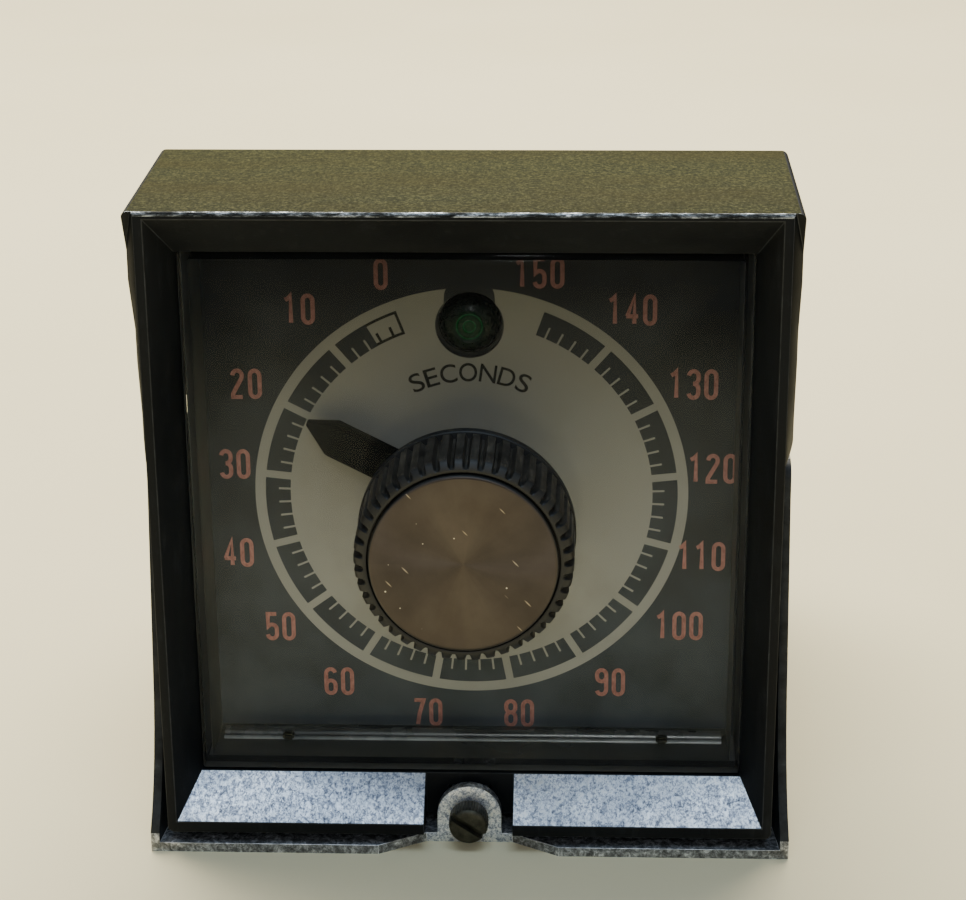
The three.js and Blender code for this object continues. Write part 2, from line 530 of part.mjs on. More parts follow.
// ---- case with front flange, gasket and panel clamps --------------------------------------------------
function timerCase() {
  const { half, bottom, top, wall, back, rearWall } = CASE;
  const { flangeFront, flangeBack, flangeHalf, flangeBottom, flangeTop } = CASE;
  const vents = [];
  for (let i = 0; i < VENTS.count; i += 1) {
    const y = VENTS.start + i * VENTS.pitch;
    vents.push(box(-half - THROUGH, half + THROUGH, y, y + VENTS.width, VENTS.bottom, VENTS.top));
  }
  return cut(
    joined(
      box(-half, half, flangeBack - THROUGH, back, bottom, top),
      box(-flangeHalf, flangeHalf, flangeFront, flangeBack, flangeBottom, flangeTop),
    ),
    box(-half + wall, half - wall, flangeFront - THROUGH, back - rearWall, bottom + wall, top - wall),
    box(-BLADE_OPENING.half, BLADE_OPENING.half, back - rearWall - THROUGH, back + THROUGH,
      BLADE.z - BLADE_OPENING.reach, BLADE.z + BLADE_OPENING.reach),
    bar(SCREW.shank + GAP, flangeFront - THROUGH, flangeBack + THROUGH, 0, LUG.z, 20),
    ...vents,
  );
}
place('timer_case', timerCase(), blackEnamel);

const gasketFront = CASE.flangeBack + GAP;
place('panel_gasket', cut(
  box(-CASE.flangeHalf, CASE.flangeHalf, gasketFront, gasketFront + GASKET.thick, CASE.flangeBottom, CASE.flangeTop),
  box(-CASE.half - GASKET.inner, CASE.half + GASKET.inner, gasketFront - THROUGH, gasketFront + 2 * THROUGH,
    CASE.bottom - GASKET.inner, CASE.top + GASKET.inner),
  bar(SCREW.hole + GAP, gasketFront - THROUGH, gasketFront + 2 * THROUGH, 0, LUG.z, 20),
), rubber);

// Both clamps are drawn for the top of the case; side -1 mirrors them under it.
function clampHeights(side) {
  const face = side > 0 ? CASE.top + GAP : CASE.bottom - GAP;
  return (...offsets) => offsets.map((offset) => face + side * offset).sort((a, b) => a - b);
}
for (const [side, label] of [[1, 'top'], [-1, 'bottom']]) {
  const heights = clampHeights(side);
  const [screwZ] = heights(CLAMP.screwOff);
  place(`clamp_${label}`, cut(
    joined(
      box(-CLAMP.half, CLAMP.half, CLAMP.front, CLAMP.back, ...heights(0, CLAMP.plate)),
      box(-CLAMP.half, CLAMP.half, CLAMP.back - CLAMP.lug, CLAMP.back, ...heights(0, CLAMP.reach)),
    ),
    bar(CLAMP.screwR + GAP, CLAMP.back - CLAMP.lug - THROUGH, CLAMP.back + THROUGH, 0, screwZ, 20),
  ), zinc);
  place(`clamp_screw_${label}`, cut(
    joined(
      bar(CLAMP.screwR, CLAMP.tip, CLAMP.headFront + GAP, 0, 0, 20),
      bar(CLAMP.headR, CLAMP.headFront, CLAMP.headBack, 0, 0, 24),
    ),
    box(-CLAMP.headR - THROUGH, CLAMP.headR + THROUGH, CLAMP.headBack - CLAMP.slotDepth, CLAMP.headBack + THROUGH,
      -CLAMP.slotHalf, CLAMP.slotHalf),
  ), steel, 0, screwZ);
}

// ---- terminal block with barrier ribs and screws ---------------------------------------------------------
function terminalBlock() {
  const { count, pitch, y, thick, rib, ribHalf, half, bottom, top } = TERMINALS;
  const back = y + thick;
  let block = box(-half, half, y, back, bottom, top);
  for (let i = 0; i <= count; i += 1) {
    const x = terminalX(i) - pitch / 2;
    block = block.add(box(x - ribHalf, x + ribHalf, back - THROUGH, back + rib, bottom, top));
  }
  for (let i = 0; i < count; i += 1) {
    const x = terminalX(i);
    block = block.subtract(box(x - BLADE.thick / 2 - GAP, x + BLADE.thick / 2 + GAP, y - THROUGH, BLADE.back + GAP,
      BLADE.z - BLADE.height / 2 - GAP, BLADE.z + BLADE.height / 2 + GAP));
  }
  return block;
}
place('terminal_block', terminalBlock(), phenolic);

const terminalBack = TERMINALS.y + TERMINALS.thick;
function terminalScrew() {
  const { screwR, screwCrownR, screwSide, screwHeight, slotHalf, slotDepth } = TERMINALS;
  const top = terminalBack + screwHeight;
  const side = terminalBack + screwSide;
  return cut(
    turned([[0, terminalBack + GAP], [screwR, terminalBack + GAP], [screwR, side], [screwCrownR, top], [0, top]], 24),
    box(-screwR - THROUGH, screwR + THROUGH, top - slotDepth, top + THROUGH, -slotHalf, slotHalf),
  );
}
for (let i = 0; i < TERMINALS.count; i += 1) {
  place(`terminal_screw_${i + 1}`, terminalScrew(), steel, terminalX(i), TERMINALS.screwZ);
}

export default timer;
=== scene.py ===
"""The looks of the panel timer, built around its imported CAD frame.

Metres, +Z up, +X right, +Y towards the back of the case. Names ending in _MM are millimetres.
"""
import json
import math

import bmesh
import bpy
from mathutils import Matrix, Vector

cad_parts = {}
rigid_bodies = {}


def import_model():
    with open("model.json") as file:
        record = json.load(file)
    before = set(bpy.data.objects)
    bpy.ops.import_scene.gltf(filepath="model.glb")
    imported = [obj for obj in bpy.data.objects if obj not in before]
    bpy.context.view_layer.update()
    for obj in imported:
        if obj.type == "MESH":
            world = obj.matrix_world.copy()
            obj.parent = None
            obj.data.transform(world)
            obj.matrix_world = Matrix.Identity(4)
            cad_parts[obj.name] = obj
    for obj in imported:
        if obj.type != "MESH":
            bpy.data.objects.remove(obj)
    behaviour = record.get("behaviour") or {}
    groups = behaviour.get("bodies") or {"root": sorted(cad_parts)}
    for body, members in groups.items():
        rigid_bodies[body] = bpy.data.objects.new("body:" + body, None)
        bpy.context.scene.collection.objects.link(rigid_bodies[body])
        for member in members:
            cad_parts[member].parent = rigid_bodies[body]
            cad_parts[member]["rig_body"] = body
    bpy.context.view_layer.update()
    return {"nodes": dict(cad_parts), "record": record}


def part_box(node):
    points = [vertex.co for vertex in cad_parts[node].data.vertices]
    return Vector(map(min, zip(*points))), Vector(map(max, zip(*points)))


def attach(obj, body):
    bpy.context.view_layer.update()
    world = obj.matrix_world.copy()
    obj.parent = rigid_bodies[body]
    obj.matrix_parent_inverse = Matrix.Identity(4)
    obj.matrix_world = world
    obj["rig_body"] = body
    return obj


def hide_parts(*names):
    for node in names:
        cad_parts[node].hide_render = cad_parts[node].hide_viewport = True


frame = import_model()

MM = 0.001
TURN = 2 * math.pi
NODES = frame["nodes"]

# ---- places taken from the frame ----
dial_low, dial_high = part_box("dial_plate")
knob_low, knob_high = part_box("setting_knob")
disc_low, disc_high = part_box("knob_disc")
lens_low, lens_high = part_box("lamp_lens")
hood_low, hood_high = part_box("bezel_hood")
screw_low, screw_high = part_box("captive_screw")
tray_low, tray_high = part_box("window")

DIAL_Y = dial_low.y
DIAL_X = (knob_low.x + knob_high.x) / 2
DIAL_Z = (knob_low.z + knob_high.z) / 2
LAMP_Z = (lens_low.z + lens_high.z) / 2
SCREW_Z = (screw_low.z + screw_high.z) / 2

# ---- driving dimensions of what is drawn here ----
SCALE_STEP = math.radians(21.38)  # angle of one 10 s step
SCALE_STEPS = 15
SCALE_START = -SCALE_STEPS / 2 * SCALE_STEP
DISC_MM = (4.2, 32.0)  # radii between which the cream disc and its ring are printed
BAND_MM = (26.75, 30.44)  # radii of the dark band that carries the marks
MARK_HALF_MM = 0.58  # half-width of the light gap at every 10 s
TICK_MM = (0.3, 1.75)  # width and length of the light tick at every 2 s
BOX_END = 0.47  # share of the first step that is only outlined
BOX_LINE_MM = 0.4  # width of that outline
NUMERAL_MM = {"height": 4.7, "half": 0.7, "stroke": 0.62, "pitch": 2.55, "radius": 36.2}
# How far each numeral stands right of and above its place on the circle.
NUMERAL_SHIFT_MM = {0: (-0.5, -0.1), 10: (-0.8, 1.4), 20: (-0.6, 0.5), 30: (1.1, 0.8), 60: (-1.2, 0.0),
                    70: (-0.3, -0.2), 80: (0.3, -0.2), 90: (1.6, 0.3), 100: (2.0, 0.7), 110: (-0.8, 0.0),
                    120: (-0.5, 0.6), 130: (0.3, 0.8), 140: (-0.4, 1.5), 150: (-2.1, 0.2)}
WORD = "SECONDS"
WORD_MM = {"height": 2.8, "radius": 19.3, "span": 17.9, "letter": 2.3, "bolder": 0.015}
PRINT_MM = 0.04  # thickness of one printed layer
LAMP_HOLE_MM = 4.95  # radius of the lamp's hole in the print
LAMP_GAP_MM = 3.6  # half-width of the dark gap above that hole
KNOB_RIBS = 45
KNOB_HUB_MM = 7.3  # length of the thin hub behind the knob's flange
# the beads carry painted light: a painted highlight line along the tray's floor, and the painted sheen of its
# clear bottom wall
BEADS = ((3.6, 1.0, "dim_bead"), (5.3, 0.4, "bright_bead"))  # forward and radius in mm, and look
BEAD_HALF_MM = 37.6  # half the length of a bead
TRAY_FLOOR_MM = 3.4  # height of the tray's inner floor above the tray's lowest point
CATCH_MM = (1.7, 1.6, 1.0)  # width, depth and height of a catch
CATCH_PLACES_MM = (-27.8, 28.6)  # right of the dial's middle
CATCH_FORWARD_MM = 5.3  # in front of the dial
HOOD_TALL_MM = (hood_high.z - hood_low.z) / MM
BEZEL_LOOKS = ["enamel", "worn_edge", "hood_top", "bare_edge", "mottled_silver", "dull_enamel"]
APRON_LOOKS = ["cast_zinc", "worn_zinc", "worn_edge", "mottled_silver", "zinc"]

# The photograph's viewpoint: about 21 degrees above the dial and a little to the right of its middle.
CAMERA_PLACE = (0.0163, DIAL_Y - 0.34565, 0.1879)
CAMERA_FORWARD = (-0.0391, 0.9299, -0.3658)
CAMERA_RIGHT = (0.9992, 0.0391, -0.0074)
CAMERA_LENS_MM = 94.0
CAMERA_SHIFT_Y = 0.03

# name, place, size, power in watts, colour; every light points at the dial's centre.
LIGHTS = (
    ("overhead", (-0.12, 0.5, 0.9), (1.2, 0.8), 37.0, (1.0, 0.94, 0.82)),
    ("front_sky", (0.05, -0.45, 1.0), (0.6, 0.4), 4.2, (0.62, 0.8, 1.0)),
    ("knob_glint", (0.05, -1.0, 0.62), (0.1, 0.5), 1.8, (0.95, 0.98, 1.0)),
)
WORLD_COLOUR = (0.88, 0.94, 1.0, 1)
WORLD_STRENGTH = 0.25
FLOOR_REACH = 6.0


# ---- shading ----
def srgb(red, green, blue):
    """A linear colour from 0..255 display values."""
    def linear(value):
        value /= 255
        return value / 12.92 if value <= 0.04045 else ((value + 0.055) / 1.055) ** 2.4
    return (linear(red), linear(green), linear(blue), 1)


def linear_colour(colour):
    """A linear colour from a grey, from three 0..255 display values, or from a linear colour itself."""
    if not isinstance(colour, tuple):
        return (colour, colour, colour, 1)
    return srgb(*colour) if len(colour) == 3 else colour


class Look:
    """One material's node tree, with its patterns measured in millimetres of the object's own space."""

    def __init__(self, name, **sockets):
        self.material = bpy.data.materials.new(name)
        self.material.use_nodes = True
        self.tree = self.material.node_tree
        self.surface = self.tree.nodes["Principled BSDF"]
        self.output = self.tree.nodes["Material Output"]
        for socket, value in sockets.items():
            self.surface.inputs[socket.replace("_", " ")].default_value = value
        coordinates = self.tree.nodes.new("ShaderNodeTexCoord")
        self.position = coordinates.outputs["Object"]

    def node(self, kind, inputs=(), **settings):
        made = self.tree.nodes.new("ShaderNode" + kind)
        for key, value in settings.items():
            setattr(made, key, value)
        for key, value in dict(inputs).items():
            if isinstance(value, bpy.types.NodeSocket):
                self.tree.links.new(value, made.inputs[key])
            else:
                made.inputs[key].default_value = value
        return made

    def link(self, output, socket):
        self.tree.links.new(output, self.surface.inputs[socket])

    def scaled(self, vector, factors):
        return self.node("VectorMath", {0: vector, 1: factors}, operation="MULTIPLY").outputs[0]

    def stretched(self, per_mm):
        """The position, scaled to pattern cells per millimetre along each axis."""
        return self.scaled(self.position, [value / MM for value in per_mm])

    def noise(self, per_mm, detail=3, rough=0.55, distortion=0.0):
        """A noise value with cells per millimetre given as one number or one for each axis."""
        if not isinstance(per_mm, (tuple, list)):
            per_mm = (per_mm,) * 3
        inputs = {"Vector": self.stretched(per_mm), "Scale": 1.0, "Detail": detail, "Roughness": rough,
                  "Distortion": distortion}
        return self.node("TexNoise", inputs).outputs["Fac"]

    def ramp(self, value, *stops):
        """A colour ramp through (place, colour or grey) stops."""
        made = self.node("ValToRGB", {"Fac": value})
        elements = made.color_ramp.elements
        while len(elements) < len(stops):
            elements.new(0.5)
        for element, (place, colour) in zip(elements, stops):
            element.position = place
            element.color = linear_colour(colour)
        return made.outputs["Color"]

    def mixed(self, share, first, second, blend="MIX"):
        """One colour over another. Sockets 0, 6 and 7 of a colour Mix node are its factor and two colours."""
        made = self.node("Mix", {0: share}, data_type="RGBA", blend_type=blend)
        for index, value in ((6, first), (7, second)):
            if isinstance(value, bpy.types.NodeSocket):
                self.tree.links.new(value, made.inputs[index])
            else:
                made.inputs[index].default_value = linear_colour(value)
        return made.outputs[2]

    def math(self, operation, first, second=0.0, clamp=False):
        return self.node("Math", {0: first, 1: second}, operation=operation, use_clamp=clamp).outputs[0]

    def drive(self, socket, value, *stops):
        """Gives one of the surface's sockets a value put through a ramp."""
        self.link(self.ramp(value, *stops), socket)

    def bump(self, height, distance_mm, strength=1.0):
        inputs = {"Height": height, "Distance": distance_mm * MM, "Strength": strength}
        self.link(self.node("Bump", inputs).outputs["Normal"], "Normal")


def speckled(look, base, light, per_mm):
    """A base colour with soft lighter clouds, whose noise is returned."""
    clouds = look.noise(per_mm, detail=4)
    look.drive("Base Color", clouds, (0.35, base), (0.7, light))
    return clouds


def black_enamel(name, shine):
    """Black stove enamel with faint stains and dust that has run down it."""
    look = Look(name, Specular_IOR_Level=shine)
    stains = look.noise(0.06, detail=5)
    grain = look.noise(3.0, detail=2)
    colour = look.ramp(stains, (0.35, (9, 11, 14)), (0.7, (18, 21, 24)))
    dust = look.ramp(look.noise((0.5, 0.5, 0.12), detail=6, rough=0.7), (0.56, 0.0), (0.8, 0.2))
    look.link(look.mixed(dust, colour, (66, 70, 74)), "Base Color")
    look.drive("Roughness", stains, (0.3, 0.48), (0.7, 0.64))
    look.bump(grain, 0.05, 0.45)
    return look.material


def worn_edge():
    """Enamel rubbed thin and greyish along the corners."""
    look = Look("worn_edge", Specular_IOR_Level=0.3)
    rub = look.noise(0.35, detail=6, rough=0.7)
    look.drive("Base Color", rub, (0.4, (17, 20, 23)), (0.62, (38, 42, 46)), (0.8, (78, 82, 86)))
    look.drive("Metallic", rub, (0.5, 0.0), (0.8, 0.3))
    look.drive("Roughness", rub, (0.4, 0.62), (0.75, 0.46))
    look.bump(look.noise(2.5, detail=3), 0.06, 0.5)
    return look.material


def bare_edge():
    """The top front edge of the hood, rubbed bright in patches by handling."""
    look = Look("bare_edge", Metallic=0.85)
    rub = look.noise((0.24, 1.2, 1.2), detail=7, rough=0.8)
    look.drive("Base Color", rub, (0.44, (24, 26, 26)), (0.53, (84, 88, 90)), (0.62, (205, 210, 214)))
    look.drive("Roughness", rub, (0.35, 0.6), (0.65, 0.3))
    look.bump(look.noise(3.0, detail=4), 0.05, 0.5)
    return look.material


def hood_top():
    """The top's paint, olive-bronze as painted light from above, with a fine crossed grain and browner
    patches.
    """
    look = Look("hood_top", Specular_IOR_Level=0.04)
    grain = look.noise((2.6, 1.4, 2.6), detail=5, rough=0.75)
    cross = look.noise((1.2, 2.8, 1.2), detail=4, rough=0.75)
    clouds = look.noise((0.03, 0.09, 0.05), detail=4)
    weave = look.math("ADD", look.math("MULTIPLY", grain, 0.5), look.math("MULTIPLY", cross, 0.5))
    # painted light: these olive-bronze tones stand for the black top lit from above
    paint = look.ramp(weave, (0.36, (21, 23, 8)), (0.5, (45, 46, 22)), (0.66, (88, 85, 48)))
    tint = look.ramp(clouds, (0.4, 0.0), (0.72, 0.6))
    look.link(look.mixed(tint, paint, (50, 44, 12)), "Base Color")
    look.drive("Roughness", grain, (0.3, 0.72), (0.7, 0.55))
    look.bump(weave, 0.06, 0.7)
    return look.material


def mottled_silver():
    """Bluish silver smears over a darker skin, with dark flecks: rubbed zinc on the lug, painted sky
    reflection on the ledges.
    """
    look = Look("mottled_silver", Metallic=0.85, Specular_IOR_Level=0.7)
    smears = look.noise((1.3, 0.9, 1.3), detail=6, rough=0.75, distortion=0.6)
    worms = look.noise((3.2, 1.6, 3.2), detail=3, rough=0.7, distortion=1.0)
    clouds = look.noise(0.07, detail=3)
    both = look.math("ADD", look.math("MULTIPLY", smears, 0.55), look.math("MULTIPLY", worms, 0.45))
    # bluish silver up to white: on the black ledges this is a painted reflection of the sky
    silver = look.ramp(both, (0.36, (104, 111, 126)), (0.47, (182, 190, 208)),
                       (0.53, (246, 250, 255)), (0.58, (255, 255, 255)))
    dulled = look.ramp(clouds, (0.4, 0.6), (0.6, 0.0))
    look.link(look.mixed(dulled, silver, (176, 182, 192), "MULTIPLY"), "Base Color")
    look.drive("Roughness", both, (0.42, 0.62), (0.58, 0.34))
    look.bump(both, 0.08, 1.0)
    return look.material


def cast_zinc():
    """Rubbed zinc casting: bright flecks on a dull skin, with small dark pits."""
    look = Look("cast_zinc", Metallic=0.75)
    skin = look.noise(0.9, detail=7, rough=0.78, distortion=0.5)
    pits = look.noise((2.6, 2.6, 1.8), detail=3, rough=0.6)
    colour = look.ramp(skin, (0.36, (70, 71, 72)), (0.48, (116, 118, 121)),
                       (0.56, (168, 171, 176)), (0.66, (238, 241, 246)))
    look.link(look.mixed(look.ramp(pits, (0.28, 0.5), (0.36, 0.0)), colour, (62, 62, 60)), "Base Color")
    look.drive("Roughness", skin, (0.35, 0.52), (0.65, 0.36))
    look.bump(pits, 0.06, 0.4)
    return look.material


def sheet_zinc():
    """Smooth plated sheet, lightly clouded, with fine rolling marks."""
    look = Look("sheet_zinc", Metallic=0.85)
    clouds = look.noise(0.12, detail=5, rough=0.6)
    rolled = look.noise((0.2, 0.2, 6.0), detail=3)
    look.drive("Base Color", clouds, (0.3, (108, 109, 108)), (0.7, (150, 151, 150)))
    look.drive("Roughness", clouds, (0.35, 0.46), (0.65, 0.34))
    look.bump(rolled, 0.03, 0.35)
    return look.material


def worn_zinc():
    """The frame's corners, brighter where they rub."""
    look = Look("worn_zinc", Metallic=0.55)
    rub = look.noise(0.8, detail=6, rough=0.7)
    look.drive("Base Color", rub, (0.38, (128, 129, 130)), (0.56, (238, 241, 244)))
    look.drive("Roughness", rub, (0.35, 0.5), (0.65, 0.28))
    look.bump(look.noise(2.5), 0.05, 0.5)
    return look.material


def turned_metal(name, dark, light, roughness=0.35, metallic=0.95):
    """A machined metal with fine rings round the Y axis and a little tarnish."""
    look = Look(name, Metallic=metallic)
    tarnish = look.noise(0.5, detail=5, rough=0.65)
    lines = look.noise((0.6, 9.0, 0.6), detail=2)
    look.drive("Base Color", tarnish, (0.35, dark), (0.65, light))
    look.drive("Roughness", tarnish, (0.3, roughness + 0.15), (0.7, roughness))
    look.bump(lines, 0.02, 0.4)
    return look.material


def black_plastic():
    """Black moulded plastic, clouded and finely grained."""
    look = Look("black_plastic", Specular_IOR_Level=0.45)
    clouds = speckled(look, (13, 14, 14), (24, 25, 25), 0.25)
    look.drive("Roughness", clouds, (0.3, 0.45), (0.7, 0.59))
    look.bump(look.noise(4.0, detail=3), 0.03, 0.4)
    return look.material


def knob_plastic():
    """Black plastic with pale dust caught along the ribs."""
    look = Look("knob_plastic", Specular_IOR_Level=0.2)
    streaks = look.noise((2.2, 0.25, 2.2), detail=5, rough=0.7)
    plastic = look.ramp(look.noise(0.4), (0.35, (36, 34, 30)), (0.7, (54, 51, 46)))
    dust = look.ramp(streaks, (0.5, 0.0), (0.76, 0.5))
    look.link(look.mixed(dust, plastic, (112, 107, 96)), "Base Color")
    look.drive("Roughness", streaks, (0.4, 0.38), (0.7, 0.62))
    look.bump(look.noise(5.0, detail=3), 0.02, 0.4)
    return look.material


def flat_position(look, centre_x, centre_z):
    """The position in millimetres from an axis along Y, with its depth left out."""
    centre = (centre_x, 0, centre_z)
    moved = look.node("VectorMath", {0: look.position, 1: centre}, operation="SUBTRACT").outputs[0]
    return look.scaled(moved, (1 / MM, 0, 1 / MM))


def length_of(look, vector):
    return look.node("VectorMath", {0: vector}, operation="LENGTH").outputs["Value"]


def spots(look, position, inner, outer, strength):
    """A share that is high close to the points of a cell pattern, one in each unit of the position."""
    cells = look.node("TexVoronoi", {"Vector": position, "Scale": 1.0}, feature="F1")
    return look.ramp(cells.outputs["Distance"], (inner, strength), (outer, 0.0))


def spun_bronze():
    """A spun disc: concentric tool marks, faint rays, slanting scratches and pale specks."""
    look = Look("spun_bronze", Metallic=0.9, Anisotropic=0.85)
    flat = flat_position(look, DIAL_X, DIAL_Z)
    radius = length_of(look, flat)
    parts = look.node("SeparateXYZ", {0: flat})
    angle = look.math("DIVIDE", look.math("ARCTAN2", parts.outputs["Z"], parts.outputs["X"]), TURN)
    rings = look.node("TexNoise", {"Vector": look.node("CombineXYZ", {0: radius}).outputs[0],
                                   "Scale": 7.0, "Detail": 3.0, "Roughness": 0.7}).outputs["Fac"]
    rays_per_turn, radial_stretch = 26.0, 0.05
    sweep = look.node("CombineXYZ", {0: look.math("MULTIPLY", angle, rays_per_turn),
                                     1: look.math("MULTIPLY", radius, radial_stretch)})
    rays = look.node("TexNoise", {"Vector": sweep.outputs[0], "Scale": 1.0, "Detail": 3.0}).outputs["Fac"]
    clouds = look.noise(0.16, detail=4)
    bronze = look.ramp(clouds, (0.3, (68, 62, 59)), (0.7, (78, 72, 69)))
    shaded = look.mixed(look.ramp(rays, (0.4, 0.0), (0.7, 0.06)), bronze, (112, 103, 90))
    specks = spots(look, look.stretched((0.45, 0.45, 0.45)), 0.035, 0.07, 0.9)
    slant = {"Vector": look.position, "Angle": 0.75}
    slanted = look.node("VectorRotate", slant, rotation_type="Y_AXIS").outputs[0]
    nicks = spots(look, look.scaled(slanted, (0.8 / MM, 0.2 / MM, 0.13 / MM)), 0.05, 0.1, 0.45)
    marked = look.mixed(specks, shaded, (228, 222, 210))
    look.link(look.mixed(nicks, marked, (210, 196, 176)), "Base Color")
    look.drive("Roughness", rings, (0.3, 0.3), (0.7, 0.4))
    look.bump(rings, 0.02, 0.55)
    tangent = look.node("Tangent", direction_type="RADIAL", axis="Y")
    look.link(tangent.outputs["Tangent"], "Tangent")
    return look.material


def height_on_dial(look):
    """The height up the dial plate, from 0 to 1."""
    height = look.node("SeparateXYZ", {0: look.position}).outputs["Z"]
    span = {"Value": height, "From Min": dial_low.z, "From Max": dial_high.z}
    return look.node("MapRange", span).outputs[0]


def dial_paint():
    """Dark printed plate, a little brown, with a pale bluish veil towards its bottom: painted reflection and
    dust.
    """
    look = Look("dial_paint", Specular_IOR_Level=0.1)
    paint = look.ramp(look.noise(0.05, detail=4), (0.35, (13, 11, 10)), (0.7, (20, 18, 17)))
    # painted reflection and dust: a pale bluish share in patches, strongest at the bottom, gone at the top
    dust = look.math("MULTIPLY", look.ramp(height_on_dial(look), (0.0, 0.6), (0.5, 0.22), (1.0, 0.0)),
                     look.ramp(look.noise(0.09, detail=5), (0.35, 0.6), (0.65, 1.0)))
    look.link(look.mixed(dust, paint, (126, 134, 144)), "Base Color")
    look.drive("Roughness", look.noise(0.8, detail=4), (0.3, 0.48), (0.7, 0.6))
    return look.material


def dial_cream():
    """The old cream print of the dial's disc and ring, greyed towards its top by painted shade."""
    look = Look("dial_cream", Specular_IOR_Level=0.15)
    across = look.node("SeparateXYZ", {0: flat_position(look, DIAL_X, DIAL_Z)}).outputs["Z"]
    height = look.node("MapRange", {"Value": across, "From Min": -30.0, "From Max": 30.0}).outputs[0]
    # painted shade: the cream darkens towards the top, where the hood shades the dial
    base = look.ramp(height, (0.0, (186, 184, 180)), (0.5, (160, 156, 150)), (1.0, (108, 105, 96)))
    rubbed = look.ramp(look.noise(0.07, detail=5, rough=0.65), (0.52, 0.0), (0.78, 0.35))
    specks = look.ramp(look.noise(1.3, detail=5, rough=0.8), (0.68, 0.0), (0.75, 0.35))
    stained = look.mixed(rubbed, base, (128, 122, 108))
    look.link(look.mixed(specks, stained, (70, 66, 60)), "Base Color")
    look.drive("Roughness", look.noise(0.3, detail=3), (0.3, 0.4), (0.7, 0.52))
    return look.material


def dial_ink(name, dark, light, shaded_top_share=1.0):
    """Screen-printed ink with slightly uneven cover and painted shade darkening it towards the dial's top,
    down to its top share.
    """
    look = Look(name, Specular_IOR_Level=0.12, Roughness=0.5)
    cover = look.noise((1.6, 1.6, 1.0), detail=5, rough=0.7)
    # painted shade, darker towards the dial's top where the hood shades it
    painted_shade = look.ramp(height_on_dial(look), (0.35, 1.0), (0.95, shaded_top_share))
    ink = look.ramp(cover, (0.35, dark), (0.62, light))
    look.link(look.mixed(1.0, ink, painted_shade, "MULTIPLY"), "Base Color")
    look.drive("Roughness", cover, (0.3, 0.42), (0.7, 0.56))
    return look.material


def thin_clear(name, tint, smudge, gloss_roughness, mirror_ior, metallic=1.0):
    """A clear wall: what is behind it shows through, under a soft mirror and uneven smudges."""
    look = Look(name, Metallic=metallic)
    smudges = look.noise((0.05, 0.05, 0.03), detail=5, rough=0.6)
    lighter = tuple(min(1, value * 1.2) for value in tint[:3]) + (1,)
    look.drive("Base Color", smudges, (0.35, tint), (0.7, lighter))
    look.drive("Roughness", smudges, (0.3, gloss_roughness), (0.7, gloss_roughness * 1.8))
    clear = look.node("BsdfTransparent", {"Color": (0.95, 0.96, 0.95, 1)})
    mirror = look.node("Fresnel", {"IOR": mirror_ior}).outputs[0]
    cover = look.math("ADD", mirror, look.ramp(smudges, (0.4, smudge * 0.6), (0.7, smudge * 1.4)), clamp=True)
    mixed = look.node("MixShader", {0: cover, 1: clear.outputs[0], 2: look.surface.outputs[0]})
    look.tree.links.new(mixed.outputs[0], look.output.inputs["Surface"])
    return look.material


def cloudy_bead(name, dark, light):
    """Polished, slightly cloudy plastic whose pale colour is painted light: a highlight line in the bright
    copy, the clear floor's sheen in the dim one.
    """
    look = Look(name, Specular_IOR_Level=0.6, Coat_Weight=0.4, Coat_Roughness=0.12)
    clouds = speckled(look, dark, light, 0.12)
    look.drive("Roughness", clouds, (0.3, 0.18), (0.7, 0.34))
    return look.material


def tinted_lens():
    """Deep green moulded plastic: two raised rings painted paler as painted highlights, and painted shade
    towards its rim.
    """
    look = Look("tinted_lens", Specular_IOR_Level=0.12)
    reach = 4.3
    share = look.math("DIVIDE", length_of(look, flat_position(look, DIAL_X, LAMP_Z)), reach)
    # painted highlights: paler green on the two raised rings
    rings = look.ramp(share, (0.0, 0.15), (0.16, 0.05), (0.2, 1.0), (0.24, 0.05), (0.39, 0.05), (0.43, 1.0),
                      (0.47, 0.0))
    # painted shade: the green darkens to black towards the rim, in the lamp's hole
    depth = look.ramp(share, (0.0, (2, 40, 19)), (0.5, (1, 22, 10)), (0.8, (1, 7, 4)),
                      (1.0, (1, 3, 2)))
    look.link(look.mixed(rings, depth, (24, 92, 52)), "Base Color")
    look.drive("Roughness", look.noise(1.5), (0.3, 0.22), (0.7, 0.34))
    look.bump(look.noise(2.0), 0.01, 0.3)
    return look.material


def warm_glass():
    """The bulb's glass, a little yellowed."""
    look = Look("warm_glass", Roughness=0.08, Alpha=0.5)
    speckled(look, (214, 206, 182), (236, 230, 212), 0.6)
    return look.material


def wound_wire():
    """Enamelled copper wire wound round the Y axis."""
    look = Look("wound_wire", Metallic=0.5, Roughness=0.4)
    wave = look.node("TexWave", {"Vector": look.stretched((0, 1, 0)), "Scale": 1.2, "Distortion": 0.4},
                     wave_type="BANDS", bands_direction="Y")
    look.drive("Base Color", wave.outputs["Fac"], (0.2, (88, 38, 20)), (0.8, (172, 94, 56)))
    look.bump(wave.outputs["Fac"], 0.15, 0.8)
    return look.material


def rubber():
    """Matt black rubber with a fine grain."""
    look = Look("rubber", Specular_IOR_Level=0.3, Roughness=0.85)
    grain = speckled(look, (20, 20, 20), (40, 40, 40), 1.6)
    look.bump(grain, 0.08, 0.5)
    return look.material


def phenolic():
    """Pressed brown-black phenolic resin with its paper flecks."""
    look = Look("phenolic", Specular_IOR_Level=0.45)
    flecks = look.noise((1.2, 1.2, 0.5), detail=6, rough=0.75)
    look.drive("Base Color", flecks, (0.36, (26, 20, 17)), (0.6, (48, 37, 30)), (0.78, (84, 66, 52)))
    look.drive("Roughness", flecks, (0.3, 0.4), (0.7, 0.6))
    look.bump(flecks, 0.03, 0.5)
    return look.material


